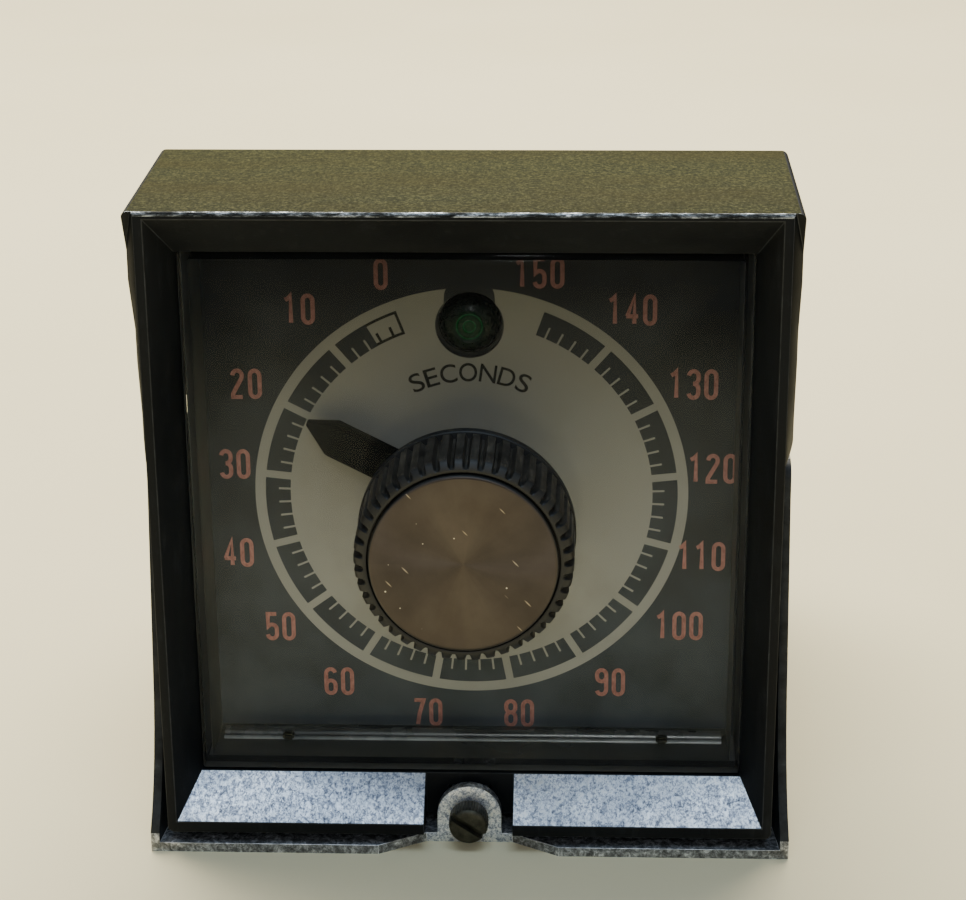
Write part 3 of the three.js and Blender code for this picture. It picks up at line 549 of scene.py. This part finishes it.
LOOKS = {
    "enamel": black_enamel("black_enamel", 0.12),
    "dull_enamel": black_enamel("dull_enamel", 0.015),
    "worn_edge": worn_edge(),
    "bare_edge": bare_edge(),
    "hood_top": hood_top(),
    "mottled_silver": mottled_silver(),
    "zinc": sheet_zinc(),
    "cast_zinc": cast_zinc(),
    "worn_zinc": worn_zinc(),
    "brass": turned_metal("brass", (120, 88, 42), (182, 146, 84)),
    "steel": turned_metal("steel", (110, 112, 114), (168, 170, 172)),
    "dark_steel": turned_metal("dark_steel", (34, 34, 28), (74, 73, 62), 0.42, 0.75),
    "black_plastic": black_plastic(),
    "knob_plastic": knob_plastic(),
    "bronze": spun_bronze(),
    "printed_dial": dial_paint(),
    "cream": dial_cream(),
    # the orange ink carries painted shade, down to 0.19 at the dial's top
    "orange_ink": dial_ink("orange_ink", (172, 116, 108), (208, 148, 140), 0.19),
    "black_ink": dial_ink("black_ink", (11, 10, 10), (24, 23, 22)),
    "clear_plastic": thin_clear("clear_pane", srgb(222, 226, 230), 0.002, 0.05, 1.16),
    "frosted_wall": thin_clear("frosted_wall", srgb(108, 110, 110), 0.3, 0.3, 1.4, 0.2),
    # painted highlight and painted sheen of the tray's clear floor
    "bright_bead": cloudy_bead("bright_bead", (112, 116, 118), (176, 180, 184)),
    "dim_bead": cloudy_bead("dim_bead", (58, 60, 62), (92, 95, 98)),
    "green_lens": tinted_lens(),
    "lamp_glass": warm_glass(),
    "phenolic": phenolic(),
    "coil_winding": wound_wire(),
    "gasket_rubber": rubber(),
}


# ---- mesh building ----
def in_scene(name, data):
    made = bpy.data.objects.new(name, data)
    bpy.context.scene.collection.objects.link(made)
    return made


def evaluated_mesh(holder):
    """The mesh an object evaluates to. The object itself is removed."""
    mesh = bpy.data.meshes.new_from_object(holder.evaluated_get(bpy.context.evaluated_depsgraph_get()))
    bpy.data.objects.remove(holder)
    return mesh


def add_piece(name, mesh, body, looks, replaces=()):
    """Adds a mesh as a piece that rides on a CAD body. looks are the LOOKS of its material slots."""
    piece = in_scene(name, mesh)
    if not mesh.materials:
        for look in looks:
            mesh.materials.append(LOOKS[look])
    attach(piece, body)
    if replaces:
        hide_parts(*replaces)
    return piece


def finished_mesh(name, bm, smooth_deg=32):
    """Turns a bmesh into a mesh with its faces pointing out and its gentle edges shaded smooth."""
    bmesh.ops.recalc_face_normals(bm, faces=bm.faces)
    mesh = bpy.data.meshes.new(name)
    bm.to_mesh(mesh)
    bm.free()
    mesh.polygons.foreach_set("use_smooth", [True] * len(mesh.polygons))
    mesh.set_sharp_from_angle(angle=math.radians(smooth_deg))
    return mesh


def with_modifier(mesh, kind, **settings):
    """The mesh with one modifier applied."""
    holder = in_scene("holder", mesh)
    modifier = holder.modifiers.new(kind, kind)
    for key, value in settings.items():
        setattr(modifier, key, value)
    return evaluated_mesh(holder)


def turned(profile_mm, centre, steps, shape=None):
    """Turns (radius, depth) points about the Y axis through centre. A profile off the axis closes on itself.
    shape(angle, index) adds to the radius, in millimetres, to cut ribs or knurls."""
    bm = bmesh.new()
    rings = []
    for index, (radius, depth) in enumerate(profile_mm):
        if radius == 0:
            rings.append([bm.verts.new((centre[0], depth * MM + centre[1], centre[2]))] * steps)
            continue
        ring = []
        for step in range(steps):
            angle = TURN * step / steps
            reach = (radius + (shape(angle, index) if shape else 0)) * MM
            ring.append(bm.verts.new((centre[0] + reach * math.cos(angle), depth * MM + centre[1],
                                      centre[2] + reach * math.sin(angle))))
        rings.append(ring)
    closed = profile_mm[0][0] > 0
    for index in range(len(rings) if closed else len(rings) - 1):
        near, far = rings[index], rings[(index + 1) % len(rings)]
        for step in range(steps):
            after = (step + 1) % steps
            corners = [near[step], near[after], far[after], far[step]]
            distinct = [v for i, v in enumerate(corners) if v not in corners[:i]]
            if len(distinct) > 2:
                bm.faces.new(distinct)
    return bm


def refined(node, name, looks, bevel_mm, edge_look=None, angle_deg=28, segments=2, paint=None,
            wide=None):
    """A copy of a CAD node with clean faces and rounded edges, which stands for it. paint(face) may name
    another look for a face, by number. wide is (test(edge), width_mm) for edges that are rounded first."""
    bm = bmesh.new()
    bm.from_mesh(NODES[node].data)
    bmesh.ops.remove_doubles(bm, verts=bm.verts, dist=0.000002)
    bmesh.ops.dissolve_limit(bm, angle_limit=math.radians(0.6), verts=bm.verts, edges=bm.edges)
    if wide:
        chosen = [edge for edge in bm.edges if wide[0](edge)]
        bmesh.ops.bevel(bm, geom=chosen, offset=wide[1] * MM, segments=3, profile=0.5, affect="EDGES")
    mesh = finished_mesh(name, bm, angle_deg)
    mesh.materials.clear()
    for look in looks:
        mesh.materials.append(LOOKS[look])
    edge_number = looks.index(edge_look) if edge_look else -1
    mesh = with_modifier(mesh, "BEVEL", width=bevel_mm * MM, segments=segments, limit_method="ANGLE",
                         angle_limit=math.radians(angle_deg), use_clamp_overlap=True, harden_normals=False,
                         material=edge_number)
    mesh.name = name
    bm = bmesh.new()
    bm.from_mesh(mesh)
    if paint:
        for face in bm.faces:
            face.material_index = paint(face)
    bmesh.ops.triangulate(bm, faces=[f for f in bm.faces if len(f.verts) > 4])
    body = NODES[node]["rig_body"]
    return add_piece(name, finished_mesh(name, bm, angle_deg), body, looks, (node,))


# ---- the printed dial ----
def on_dial(x_mm, z_mm, layer):
    """A point on the front of a printed layer, from millimetres right of and above the dial's centre."""
    return (DIAL_X + x_mm * MM, DIAL_Y - layer * PRINT_MM * MM, DIAL_Z + z_mm * MM)


def printed(name, polygons, layer, look):
    """Flat shapes printed on the dial, as lists of (x, z) in millimetres. A third number lifts a point by
    that part of a layer, where two shapes cross."""
    bm = bmesh.new()
    for polygon in polygons:
        bm.faces.new([bm.verts.new(on_dial(x, z, layer + sum(lift))) for x, z, *lift in polygon])
    bmesh.ops.remove_doubles(bm, verts=bm.verts, dist=0.000001)
    grown = bmesh.ops.extrude_face_region(bm, geom=bm.faces[:])
    moved = [v for v in grown["geom"] if isinstance(v, bmesh.types.BMVert)]
    bmesh.ops.translate(bm, verts=moved, vec=(0, PRINT_MM * MM * 0.9, 0))
    add_piece(name, finished_mesh(name, bm), "timer_unit", [look])


def polar(radius, angle):
    """A point at an angle measured from straight down, positive to the right."""
    return (radius * math.sin(angle), -radius * math.cos(angle))


def arc_band(inner, outer, start, end, steps, parallel_mm=0.0):
    """Quads between two radii; parallel_mm moves both ends inwards by the same distance at every radius."""
    def place(radius, share):
        shift = parallel_mm / radius
        return polar(radius, start + shift + (end - start - 2 * shift) * share)
    quads = []
    for step in range(steps):
        a, b = step / steps, (step + 1) / steps
        quads.append([place(inner, a), place(inner, b), place(outer, b), place(outer, a)])
    return quads


def bar_at(angle, inner, outer, width):
    """A straight radial bar."""
    along, across = Vector(polar(1, angle)), Vector(polar(1, angle + math.pi / 2)) * width / 2
    a, b = along * inner, along * outer
    return [tuple(p) for p in (a - across, a + across, b + across, b - across)]


def dial_disc_cells():
    """The cream disc and its ring, cut by the lamp's round hole and by the dark gap above it. The cells are
    fine round the hole and coarse elsewhere."""
    hub, reach = DISC_MM
    lamp = (LAMP_Z - DIAL_Z) / MM
    spread = math.asin(LAMP_HOLE_MM / lamp)
    fine, coarse = 48, 300
    angles = [math.pi - spread * math.cos(math.pi * i / fine) for i in range(fine + 1)]
    angles += [math.pi + spread + (TURN - 2 * spread) * i / coarse for i in range(1, coarse + 1)]

    def crossing(angle):
        """Where a line from the centre enters the lamp's hole, and where the print starts again beyond it."""
        across, along = abs(lamp * math.sin(angle)), -lamp * math.cos(angle)
        half = math.sqrt(max(0.0, LAMP_HOLE_MM ** 2 - across ** 2))
        beyond_gap = LAMP_GAP_MM / max(abs(math.sin(angle)), 0.001)
        return along - half, min(reach, max(along + half, beyond_gap))

    cells = []
    for index, (start, end) in enumerate(zip(angles, angles[1:])):
        if index >= fine:
            cells.append([polar(hub, start), polar(hub, end), polar(reach, end), polar(reach, start)])
            continue
        (enter_a, leave_a), (enter_b, leave_b) = crossing(start), crossing(end)
        cells.append([polar(hub, start), polar(hub, end), polar(enter_b, end), polar(enter_a, start)])
        if min(leave_a, leave_b) < reach - 0.01:
            outer = [polar(leave_a, start), polar(leave_b, end), polar(reach, end), polar(reach, start)]
            cells.append([p for i, p in enumerate(outer) if math.dist(p, outer[i - 1]) > 0.002])
    return cells


def stroke(path, width, closed=False):
    """A flat line of even width along (x, z) points, as quads with mitred joints."""
    count = len(path)
    points = [Vector(p) for p in path]
    sides = []
    for i, point in enumerate(points):
        before = points[i - 1] if closed or i > 0 else None
        after = points[(i + 1) % count] if closed or i + 1 < count else None
        arriving = (point - before).normalized() if before is not None else (after - point).normalized()
        leaving = (after - point).normalized() if after is not None else arriving
        along = (arriving + leaving).normalized()
        normal = Vector((-along.y, along.x))
        spread = width / 2 / max(0.5, normal.dot(Vector((-arriving.y, arriving.x))))
        sides.append((point + normal * spread, point - normal * spread))
    pairs = zip(sides, sides[1:] + sides[:1]) if closed else zip(sides, sides[1:])
    return [[tuple(a[0]), tuple(b[0]), tuple(b[1]), tuple(a[1])] for a, b in pairs]


def arc_points(x, z, reach, rise, start_deg, end_deg, steps=10):
    """Points of an upright ellipse's arc, by the angle from +x."""
    result = []
    for step in range(steps + 1):
        angle = math.radians(start_deg + (end_deg - start_deg) * step / steps)
        result.append((x + reach * math.cos(angle), z + rise * math.sin(angle)))
    return result


def digit_strokes(digit, half, height):
    """The centre lines of a narrow upright digit, as (points, closed) pairs, from its foot at z = 0."""
    rise = half * 1.15
    top, middle, shelf = height, height * 0.53, height * 0.27

    def arc(z, start_deg, end_deg, x=0.0, reach=half):
        return arc_points(x, z, reach, rise, start_deg, end_deg)

    bowl, cup = arc(top - rise, 180, 0), arc(rise, 0, -180)
    lower_loop, upper_loop = arc(middle - rise, 180, 0) + cup, bowl + arc(middle + rise, 0, -180)
    nose = {"x": -half * 0.1, "reach": half * 1.1}
    flag = [(-half, top - rise * 0.8), (-half * 0.3, top - rise * 0.5), (half * 0.1, top), (half * 0.1, 0)]
    swan = arc(top - rise, 175, -35) + [(-half, height * 0.12), (-half, 0), (half, 0)]
    hook = [(half, top), (-half * 0.85, top), (-half * 0.85, middle - rise * 0.25)]
    shapes = {
        "0": [(bowl + cup, True)],
        "1": [(flag, False)],
        "2": [(swan, False)],
        "3": [(arc(top - rise, 170, 0) + arc(middle + rise, 0, -90, **nose), False),
              (arc(middle - rise, 90, 0, **nose) + arc(rise, 0, -170), False)],
        "4": [([(half * 0.45, 0), (half * 0.45, top), (-half, shelf)], False),
              ([(-half * 1.2, shelf), (half * 1.2, shelf)], False)],
        "5": [(hook + arc(middle - rise * 0.8, 120, 0) + arc(rise, 0, -170), False)],
        "6": [(lower_loop, True), (arc(top - rise, 15, 180) + [(-half, middle - rise)], False)],
        "7": [([(-half, top), (half, top), (half * 0.1, height * 0.45), (-half * 0.3, 0)], False)],
        "8": [(lower_loop, True), (upper_loop, True)],
        "9": [(upper_loop, True), ([(half, middle + rise)] + arc(rise, 0, -165), False)],
    }
    return shapes[digit]


def numeral(text, x, z):
    """The quads of a number centred on (x, z). Each further stroke of a digit is lifted a little."""
    size, lift = NUMERAL_MM, 0.3
    height = size["height"] - size["stroke"]
    quads = []
    for place, digit in enumerate(text):
        shift = (place - (len(text) - 1) / 2) * size["pitch"]
        for number, (path, closed) in enumerate(digit_strokes(digit, size["half"], height)):
            moved = [(x + shift + px, z - height / 2 + pz) for px, pz in path]
            quads += [[(*point, lift * number) for point in quad]
                      for quad in stroke(moved, size["stroke"], closed)]
    return quads


def scale_angle(step):
    return SCALE_START + step * SCALE_STEP


def draw_dial():
    """The disc, the dark band, the outlined start box, the ticks and the numbers."""
    printed("dial_disc_print", dial_disc_cells(), 1, "cream")
    band = []
    for step in range(1, SCALE_STEPS):
        band += arc_band(*BAND_MM, scale_angle(step), scale_angle(step + 1), 14, MARK_HALF_MM)
    split = SCALE_START + BOX_END * SCALE_STEP
    band += arc_band(*BAND_MM, split, scale_angle(1) - MARK_HALF_MM / BAND_MM[1], 8)
    printed("dial_band_print", band, 2, "printed_dial")

    line = BOX_LINE_MM
    first = SCALE_START + MARK_HALF_MM / BAND_MM[1]
    outline = arc_band(BAND_MM[1] - line, BAND_MM[1], first, split, 8)
    outline += arc_band(BAND_MM[0], BAND_MM[0] + line, first, split, 8)
    outline.append(bar_at(first, BAND_MM[0], BAND_MM[1], line))
    outline += [bar_at(SCALE_START + share * SCALE_STEP, BAND_MM[0], BAND_MM[0] + TICK_MM[1], line)
                for share in (0.2, 0.4)]
    printed("dial_start_box_print", outline, 2, "black_ink")

    ticks = [bar_at(scale_angle(step + part / 5), BAND_MM[0] - 0.1, BAND_MM[0] + TICK_MM[1], TICK_MM[0])
             for step in range(SCALE_STEPS) for part in range(1, 5) if step + part / 5 > BOX_END]
    printed("dial_ticks_print", ticks, 3, "cream")

    numbers = []
    for step in range(SCALE_STEPS + 1):
        x, z = polar(NUMERAL_MM["radius"], scale_angle(step))
        right, up = NUMERAL_SHIFT_MM.get(10 * step, (0.0, 0.0))
        numbers += numeral(str(10 * step), x + right, z + up)
    printed("dial_numbers_print", numbers, 1, "orange_ink")


def letter_mesh(letter):
    """One upright letter of the built-in typeface, centred and drawn halfway to the word's letter width, and
    its width in millimetres."""
    curve = bpy.data.curves.new("letter", "FONT")
    curve.body = letter
    cap_share = 0.7
    curve.size = WORD_MM["height"] * MM / cap_share
    curve.extrude = PRINT_MM * MM * 0.45
    curve.offset = WORD_MM["bolder"] * MM
    mesh = evaluated_mesh(in_scene("letter", curve))
    low, high = min(v.co.x for v in mesh.vertices), max(v.co.x for v in mesh.vertices)
    even = math.sqrt(WORD_MM["letter"] * MM / (high - low))
    mesh.transform(Matrix.Diagonal((even, 1, 1, 1)) @ Matrix.Translation((-(low + high) / 2, 0, 0)))
    return mesh, even * (high - low) / MM


def draw_word():
    """The unit's word on an arc, with even gaps between its letters."""
    made = [letter_mesh(letter) for letter in WORD]
    gap = (WORD_MM["span"] - sum(width for mesh, width in made)) / (len(made) - 1)
    letters = bmesh.new()
    along, layer = -WORD_MM["span"] / 2, 1.6
    foot = WORD_MM["radius"] - WORD_MM["height"] / 2
    for mesh, width in made:
        angle = (along + width / 2) / WORD_MM["radius"]
        along += width + gap
        at = on_dial(foot * math.sin(angle), foot * math.cos(angle), layer)
        turn = Matrix.Rotation(angle, 4, "Y") @ Matrix.Rotation(math.pi / 2, 4, "X")
        mesh.transform(Matrix.Translation(at) @ turn)
        letters.from_mesh(mesh)
        bpy.data.meshes.remove(mesh)
    add_piece("dial_word_print", finished_mesh("dial_word_print", letters), "timer_unit",
              ["black_ink"])


# ---- pieces ----
def add_knob():
    """Ribbed knob: flat ribs between narrow grooves run from a smooth flange on to the rounded front edge.
    A smooth lip and a shallow seat for the disc follow."""
    ribs_from, ribs_to = 1.7, 1.0
    bore, seat = 2.15, 1.2
    depth = (knob_high.y - knob_low.y) / MM
    flange = depth - KNOB_HUB_MM
    back = [(bore, depth), (3.1, depth), (3.2, depth - 0.15), (3.2, flange), (15.4, flange),
            (15.6, flange - 0.2), (15.6, flange - 1.4), (15.45, flange - 1.6), (14.5, flange - ribs_from)]
    ribs = [(15.4, flange - 1.75), (15.45, flange - 2.2), (15.4, 1.5), (15.2, 0.9), (14.8, 0.45),
            (14.3, 0.15)]
    groove_depths = [0.75, 0.85, 0.9, 0.85, 0.7, 0.3]
    lip = [(13.95, 0.02), (13.7, 0.0), (13.52, 0.08), (13.42, 0.3), (13.4, seat), (bore, seat)]
    first = len(back)

    def ribbed(angle, index):
        """Flat crests, and steep sides down to each groove."""
        if not first <= index < first + len(ribs):
            return 0.0
        crest = (abs(math.sin(angle * KNOB_RIBS / 2)) - 0.38) / 0.3
        return groove_depths[index - first] * (min(1.0, max(0.0, crest)) - 1.0)

    bm = turned(back + ribs + lip, (DIAL_X, knob_low.y, DIAL_Z), KNOB_RIBS * 12, ribbed)
    for face in bm.faces:
        depth_here = (face.calc_center_median().y - knob_low.y) / MM
        face.material_index = 0 if ribs_to < depth_here < flange - ribs_from else 1
    add_piece("knob_shell", finished_mesh("knob_shell", bm, 34), "setting",
              ["knob_plastic", "black_plastic"], ("setting_knob",))


def add_disc():
    """Slightly dished spun disc with a crisp black rim."""
    thick = (disc_high.y - disc_low.y) / MM
    rim, rim_wide = (disc_high.x - disc_low.x) / 2 / MM, 0.3
    profile = [(0, 0.12), (1.2, 0.11), (3.0, 0.08), (6.0, 0.03), (9.0, 0.0), (rim - 0.5, 0.03),
               (rim - 0.15, 0.08), (rim, 0.25), (rim, thick), (0, thick)]
    bm = turned(profile, (DIAL_X, disc_low.y, DIAL_Z), 192)
    for face in bm.faces:
        place = face.calc_center_median()
        off_axis = math.hypot(place.x - DIAL_X, place.z - DIAL_Z)
        face.material_index = 1 if off_axis > (rim - rim_wide) * MM else 0
    add_piece("knob_face_disc", finished_mesh("knob_face_disc", bm, 50), "setting",
              ["bronze", "black_plastic"], ("knob_disc",))


def add_lens():
    """Round lamp lens with two raised rings and a dark rim."""
    reach = (lens_high.x - lens_low.x) / 2 / MM
    depth = (lens_high.y - lens_low.y) / MM
    profile = [(0, 0.35), (0.45, 0.32), (0.72, 0.22), (0.87, 0.3), (1.02, 0.12), (1.55, 0.05), (1.72, 0.16),
               (1.85, 0.3), (1.98, 0.14), (2.4, 0.0), (3.1, 0.22), (3.6, 0.6), (3.95, 1.1),
               (reach - 0.2, 1.5), (reach, 1.9), (reach, depth), (0, depth)]
    bm = turned(profile, (DIAL_X, lens_low.y, LAMP_Z), 96)
    add_piece("lamp_lens_ringed", finished_mesh("lamp_lens_ringed", bm, 35), "timer_unit",
              ["green_lens"], ("lamp_lens",))


def add_screw():
    """Slotted cylinder-head screw with a knurled side, a relieved shank and a threaded tip."""
    head = (screw_high.x - screw_low.x) / 2 / MM
    length = (screw_high.y - screw_low.y) / MM
    head_long, shank, thread_from, pitch, root = 3.5, 1.5, 24.0, 0.794, 0.28
    knurls, knurl_deep, knurled = 36, 0.1, (4, 5)
    slot_mm, slot_turn, slot_at = (8, 1.9, 1.05), math.radians(35), 0.35
    profile = [(0, 0.0), (head - 0.75, 0.0), (head - 0.32, 0.12), (head - 0.12, 0.4), (head - 0.1, 0.7),
               (head - 0.1, head_long - 0.5), (head - 0.12, head_long - 0.25), (head - 0.3, head_long),
               (shank, head_long), (shank, thread_from)]
    depth = thread_from
    while depth + pitch < length - 0.6:
        profile += [(shank - root, depth + pitch * 0.3), (shank - root, depth + pitch * 0.45),
                    (shank, depth + pitch * 0.9)]
        depth += pitch
    profile += [(shank - 0.5, length), (0, length)]

    def knurl(angle, index):
        return knurl_deep * (abs(math.sin(angle * knurls / 2)) * 2 - 1) if index in knurled else 0.0

    screw = finished_mesh("screw", turned(profile, (DIAL_X, screw_low.y, SCREW_Z), knurls * 6, knurl), 40)
    slot = bmesh.new()
    bmesh.ops.create_cube(slot, size=1.0)
    cut = bpy.data.meshes.new("screw_slot")
    slot.to_mesh(cut)
    slot.free()
    at = Matrix.Translation((DIAL_X, screw_low.y + slot_at * MM, SCREW_Z))
    cut.transform(at @ Matrix.Rotation(slot_turn, 4, "Y") @ Matrix.Diagonal((*(v * MM for v in slot_mm), 1)))
    cutter = in_scene("screw_slot", cut)
    screw.materials.append(LOOKS["dark_steel"])
    cut.materials.append(LOOKS["dark_steel"])
    slotted = with_modifier(screw, "BOOLEAN", operation="DIFFERENCE", object=cutter, solver="EXACT")
    bpy.data.objects.remove(cutter)
    slotted.name = "slotted_screw"
    slotted.set_sharp_from_angle(angle=math.radians(40))
    add_piece("slotted_screw", slotted, "captive_screw", ["dark_steel"], ("captive_screw",))


def add_tray_details():
    """The dim and the bright bead along the tray's floor, which carry painted sheen and a painted highlight,
    and the tray's two small catches.
    """
    floor = tray_low.z + TRAY_FLOOR_MM * MM
    steps = 8
    for number, (forward, radius, look) in enumerate(BEADS):
        bm = bmesh.new()
        sections = []
        for x in (-BEAD_HALF_MM, BEAD_HALF_MM):
            ring = []
            for step in range(steps + 1):
                angle = math.pi * step / steps
                ring.append(bm.verts.new((DIAL_X + x * MM, DIAL_Y - (forward + radius * math.cos(angle)) * MM,
                                          floor + radius * math.sin(angle) * MM)))
            sections.append(ring)
        left, right = sections
        for a, b in zip(range(steps + 1), [*range(1, steps + 1), 0]):
            bm.faces.new([left[a], left[b], right[b], right[a]])
        bm.faces.new(left)
        bm.faces.new(right)
        add_piece(f"tray_bead_{number + 1}", finished_mesh("tray_bead", bm, 50), "timer_unit",
                  [look])
    for number, x in enumerate(CATCH_PLACES_MM):
        catch = bmesh.new()
        bmesh.ops.create_cube(catch, size=1.0)
        bmesh.ops.scale(catch, verts=catch.verts, vec=[size * MM for size in CATCH_MM])
        at = (DIAL_X + x * MM, DIAL_Y - CATCH_FORWARD_MM * MM, floor + CATCH_MM[2] / 2 * MM)
        bmesh.ops.translate(catch, verts=catch.verts, vec=at)
        bmesh.ops.bevel(catch, geom=catch.edges[:], offset=0.25 * MM, segments=2, affect="EDGES")
        add_piece(f"tray_catch_{number + 1}", finished_mesh("tray_catch", catch), "timer_unit",
                  ["dark_steel"])


def is_top_front(edge):
    """The bezel's upper front edge."""
    near = 0.2 * MM
    return all(v.co.z > hood_high.z - near and v.co.y < hood_low.y + near for v in edge.verts)


def place_on_front(face):
    """A face's place in millimetres: beside the dial's middle, behind the bezel's front, above its bottom."""
    place = face.calc_center_median()
    return abs(place.x - DIAL_X) / MM, (place.y - hood_low.y) / MM, (place.z - hood_low.z) / MM


def paint_bezel(face):
    """Which of BEZEL_LOOKS a face wears."""
    beside, behind, above = place_on_front(face)
    below_top = HOOD_TALL_MM - above
    normal = face.normal
    # up-facing top faces take the look with painted light from above
    if normal.z > 0.95 and below_top < 0.6:
        return BEZEL_LOOKS.index("hood_top")
    if below_top < 0.85 and behind < 2 and normal.y < -0.15 and normal.z > 0.15:
        return BEZEL_LOOKS.index("bare_edge")
    # up-facing ledge faces get bluish silver, a painted reflection of the sky on the black bezel
    on_ledge = above < 8 and behind < 7 and beside > 6.5
    if on_ledge and normal.z > 0.45 and face.material_index == 0:
        return BEZEL_LOOKS.index("mottled_silver")
    outward = normal.x * (1 if face.calc_center_median().x > DIAL_X else -1)
    return BEZEL_LOOKS.index("dull_enamel") if outward > 0.7 and beside > 43.5 else face.material_index


def paint_apron(face):
    """Which of APRON_LOOKS a face wears. The ends of the side plates are weathered, the lug is rubbed and
    the back plate is smooth sheet."""
    beside, behind, above = place_on_front(face)
    if beside > 44.9 and above > -0.5:
        return APRON_LOOKS.index("worn_edge")
    if beside < 6.8 and above > 0.5 and face.normal.y < -0.3:
        return APRON_LOOKS.index("mottled_silver")
    return APRON_LOOKS.index("zinc") if behind > 12 and above > 3 else face.material_index


def paint_window(face):
    """0 for the clear pane and upper wall, 1 for the tray's other walls and its flange."""
    place = face.calc_center_median()
    on_pane = place.y < tray_low.y + 1.6 * MM and abs(face.normal.y) > 0.5
    on_upper_wall = place.z > tray_high.z - 4 * MM and abs(place.x - DIAL_X) < 39 * MM
    return 0 if on_pane or on_upper_wall else 1


def add_pieces():
    """The refined copies, the rebuilt pieces and the print; bevel widths are in millimetres."""
    refined("bezel_hood", "bezel_shell", BEZEL_LOOKS, 0.45, "worn_edge", paint=paint_bezel,
            wide=(is_top_front, 0.6))
    refined("front_frame", "zinc_apron", APRON_LOOKS, 0.4, "worn_zinc", paint=paint_apron)
    refined("window", "window_tray", ["clear_plastic", "frosted_wall"], 0.3,
            paint=paint_window)
    refined("pointer", "dial_pointer", ["dull_enamel"], 0.35, angle_deg=40, segments=3)
    refined("timer_case", "case_shell", ["enamel", "worn_edge"], 0.6, "worn_edge")
    refined("panel_gasket", "gasket_ring", ["gasket_rubber"], 0.25)
    refined("terminal_block", "terminal_strip", ["phenolic"], 0.35)
    for side in ("top", "bottom"):
        refined(f"clamp_{side}", f"panel_clamp_{side}", ["zinc"], 0.35)
        refined(f"clamp_screw_{side}", f"jack_screw_{side}", ["steel"], 0.2)
    for index in range(1, 7):
        refined(f"terminal_screw_{index}", f"wire_screw_{index}", ["steel"], 0.15)
    add_knob()
    add_disc()
    add_lens()
    add_screw()
    add_tray_details()
    draw_dial()
    draw_word()


def finish_plain_nodes():
    """Every CAD node that keeps its own mesh gets the detailed look of its record slot."""
    slots = {material["slot"] for material in frame["record"]["materials"]}
    for node in NODES.values():
        for index, material in enumerate(node.data.materials):
            if material.name in slots:
                node.data.materials[index] = LOOKS[material.name]


# ---- floor, light and camera ----
def add_floor():
    """A wide pale floor that the timer stands on."""
    mesh = bpy.data.meshes.new("floor")
    reach = FLOOR_REACH
    corners = [(-reach, -reach, 0), (reach, -reach, 0), (reach, reach, 0), (-reach, reach, 0)]
    mesh.from_pydata(corners, [], [(0, 1, 2, 3)])
    floor = in_scene("floor", mesh)
    look = Look("floor_paint", Specular_IOR_Level=0.15, Roughness=0.75)
    speckled(look, (216, 206, 168), (224, 214, 178), 0.004)
    mesh.materials.append(look.material)


def add_lights():
    middle = Vector((0, 0, DIAL_Z))
    for name, place, size, power, colour in LIGHTS:
        data = bpy.data.lights.new(name, "AREA")
        data.shape = "RECTANGLE"
        data.size, data.size_y = size
        data.energy = power
        data.color = colour
        light = in_scene(name, data)
        light.location = place
        light.visible_camera = False
        light.rotation_euler = (middle - Vector(place)).to_track_quat("-Z", "Y").to_euler()
    world = bpy.data.worlds.new("studio")
    world.use_nodes = True
    background = world.node_tree.nodes["Background"]
    background.inputs["Color"].default_value = WORLD_COLOUR
    background.inputs["Strength"].default_value = WORLD_STRENGTH
    bpy.context.scene.world = world


def add_camera():
    data = bpy.data.cameras.new("camera")
    data.lens = CAMERA_LENS_MM
    data.sensor_width = 36
    data.shift_y = CAMERA_SHIFT_Y
    data.clip_start = 0.01
    camera = in_scene("camera", data)
    forward, right = Vector(CAMERA_FORWARD), Vector(CAMERA_RIGHT)
    up = right.cross(forward)
    turn = Matrix((right, up, -forward)).transposed().to_4x4()
    camera.matrix_world = Matrix.Translation(CAMERA_PLACE) @ turn
    bpy.context.scene.camera = camera


add_camera()
add_floor()
add_lights()
finish_plain_nodes()
add_pieces()
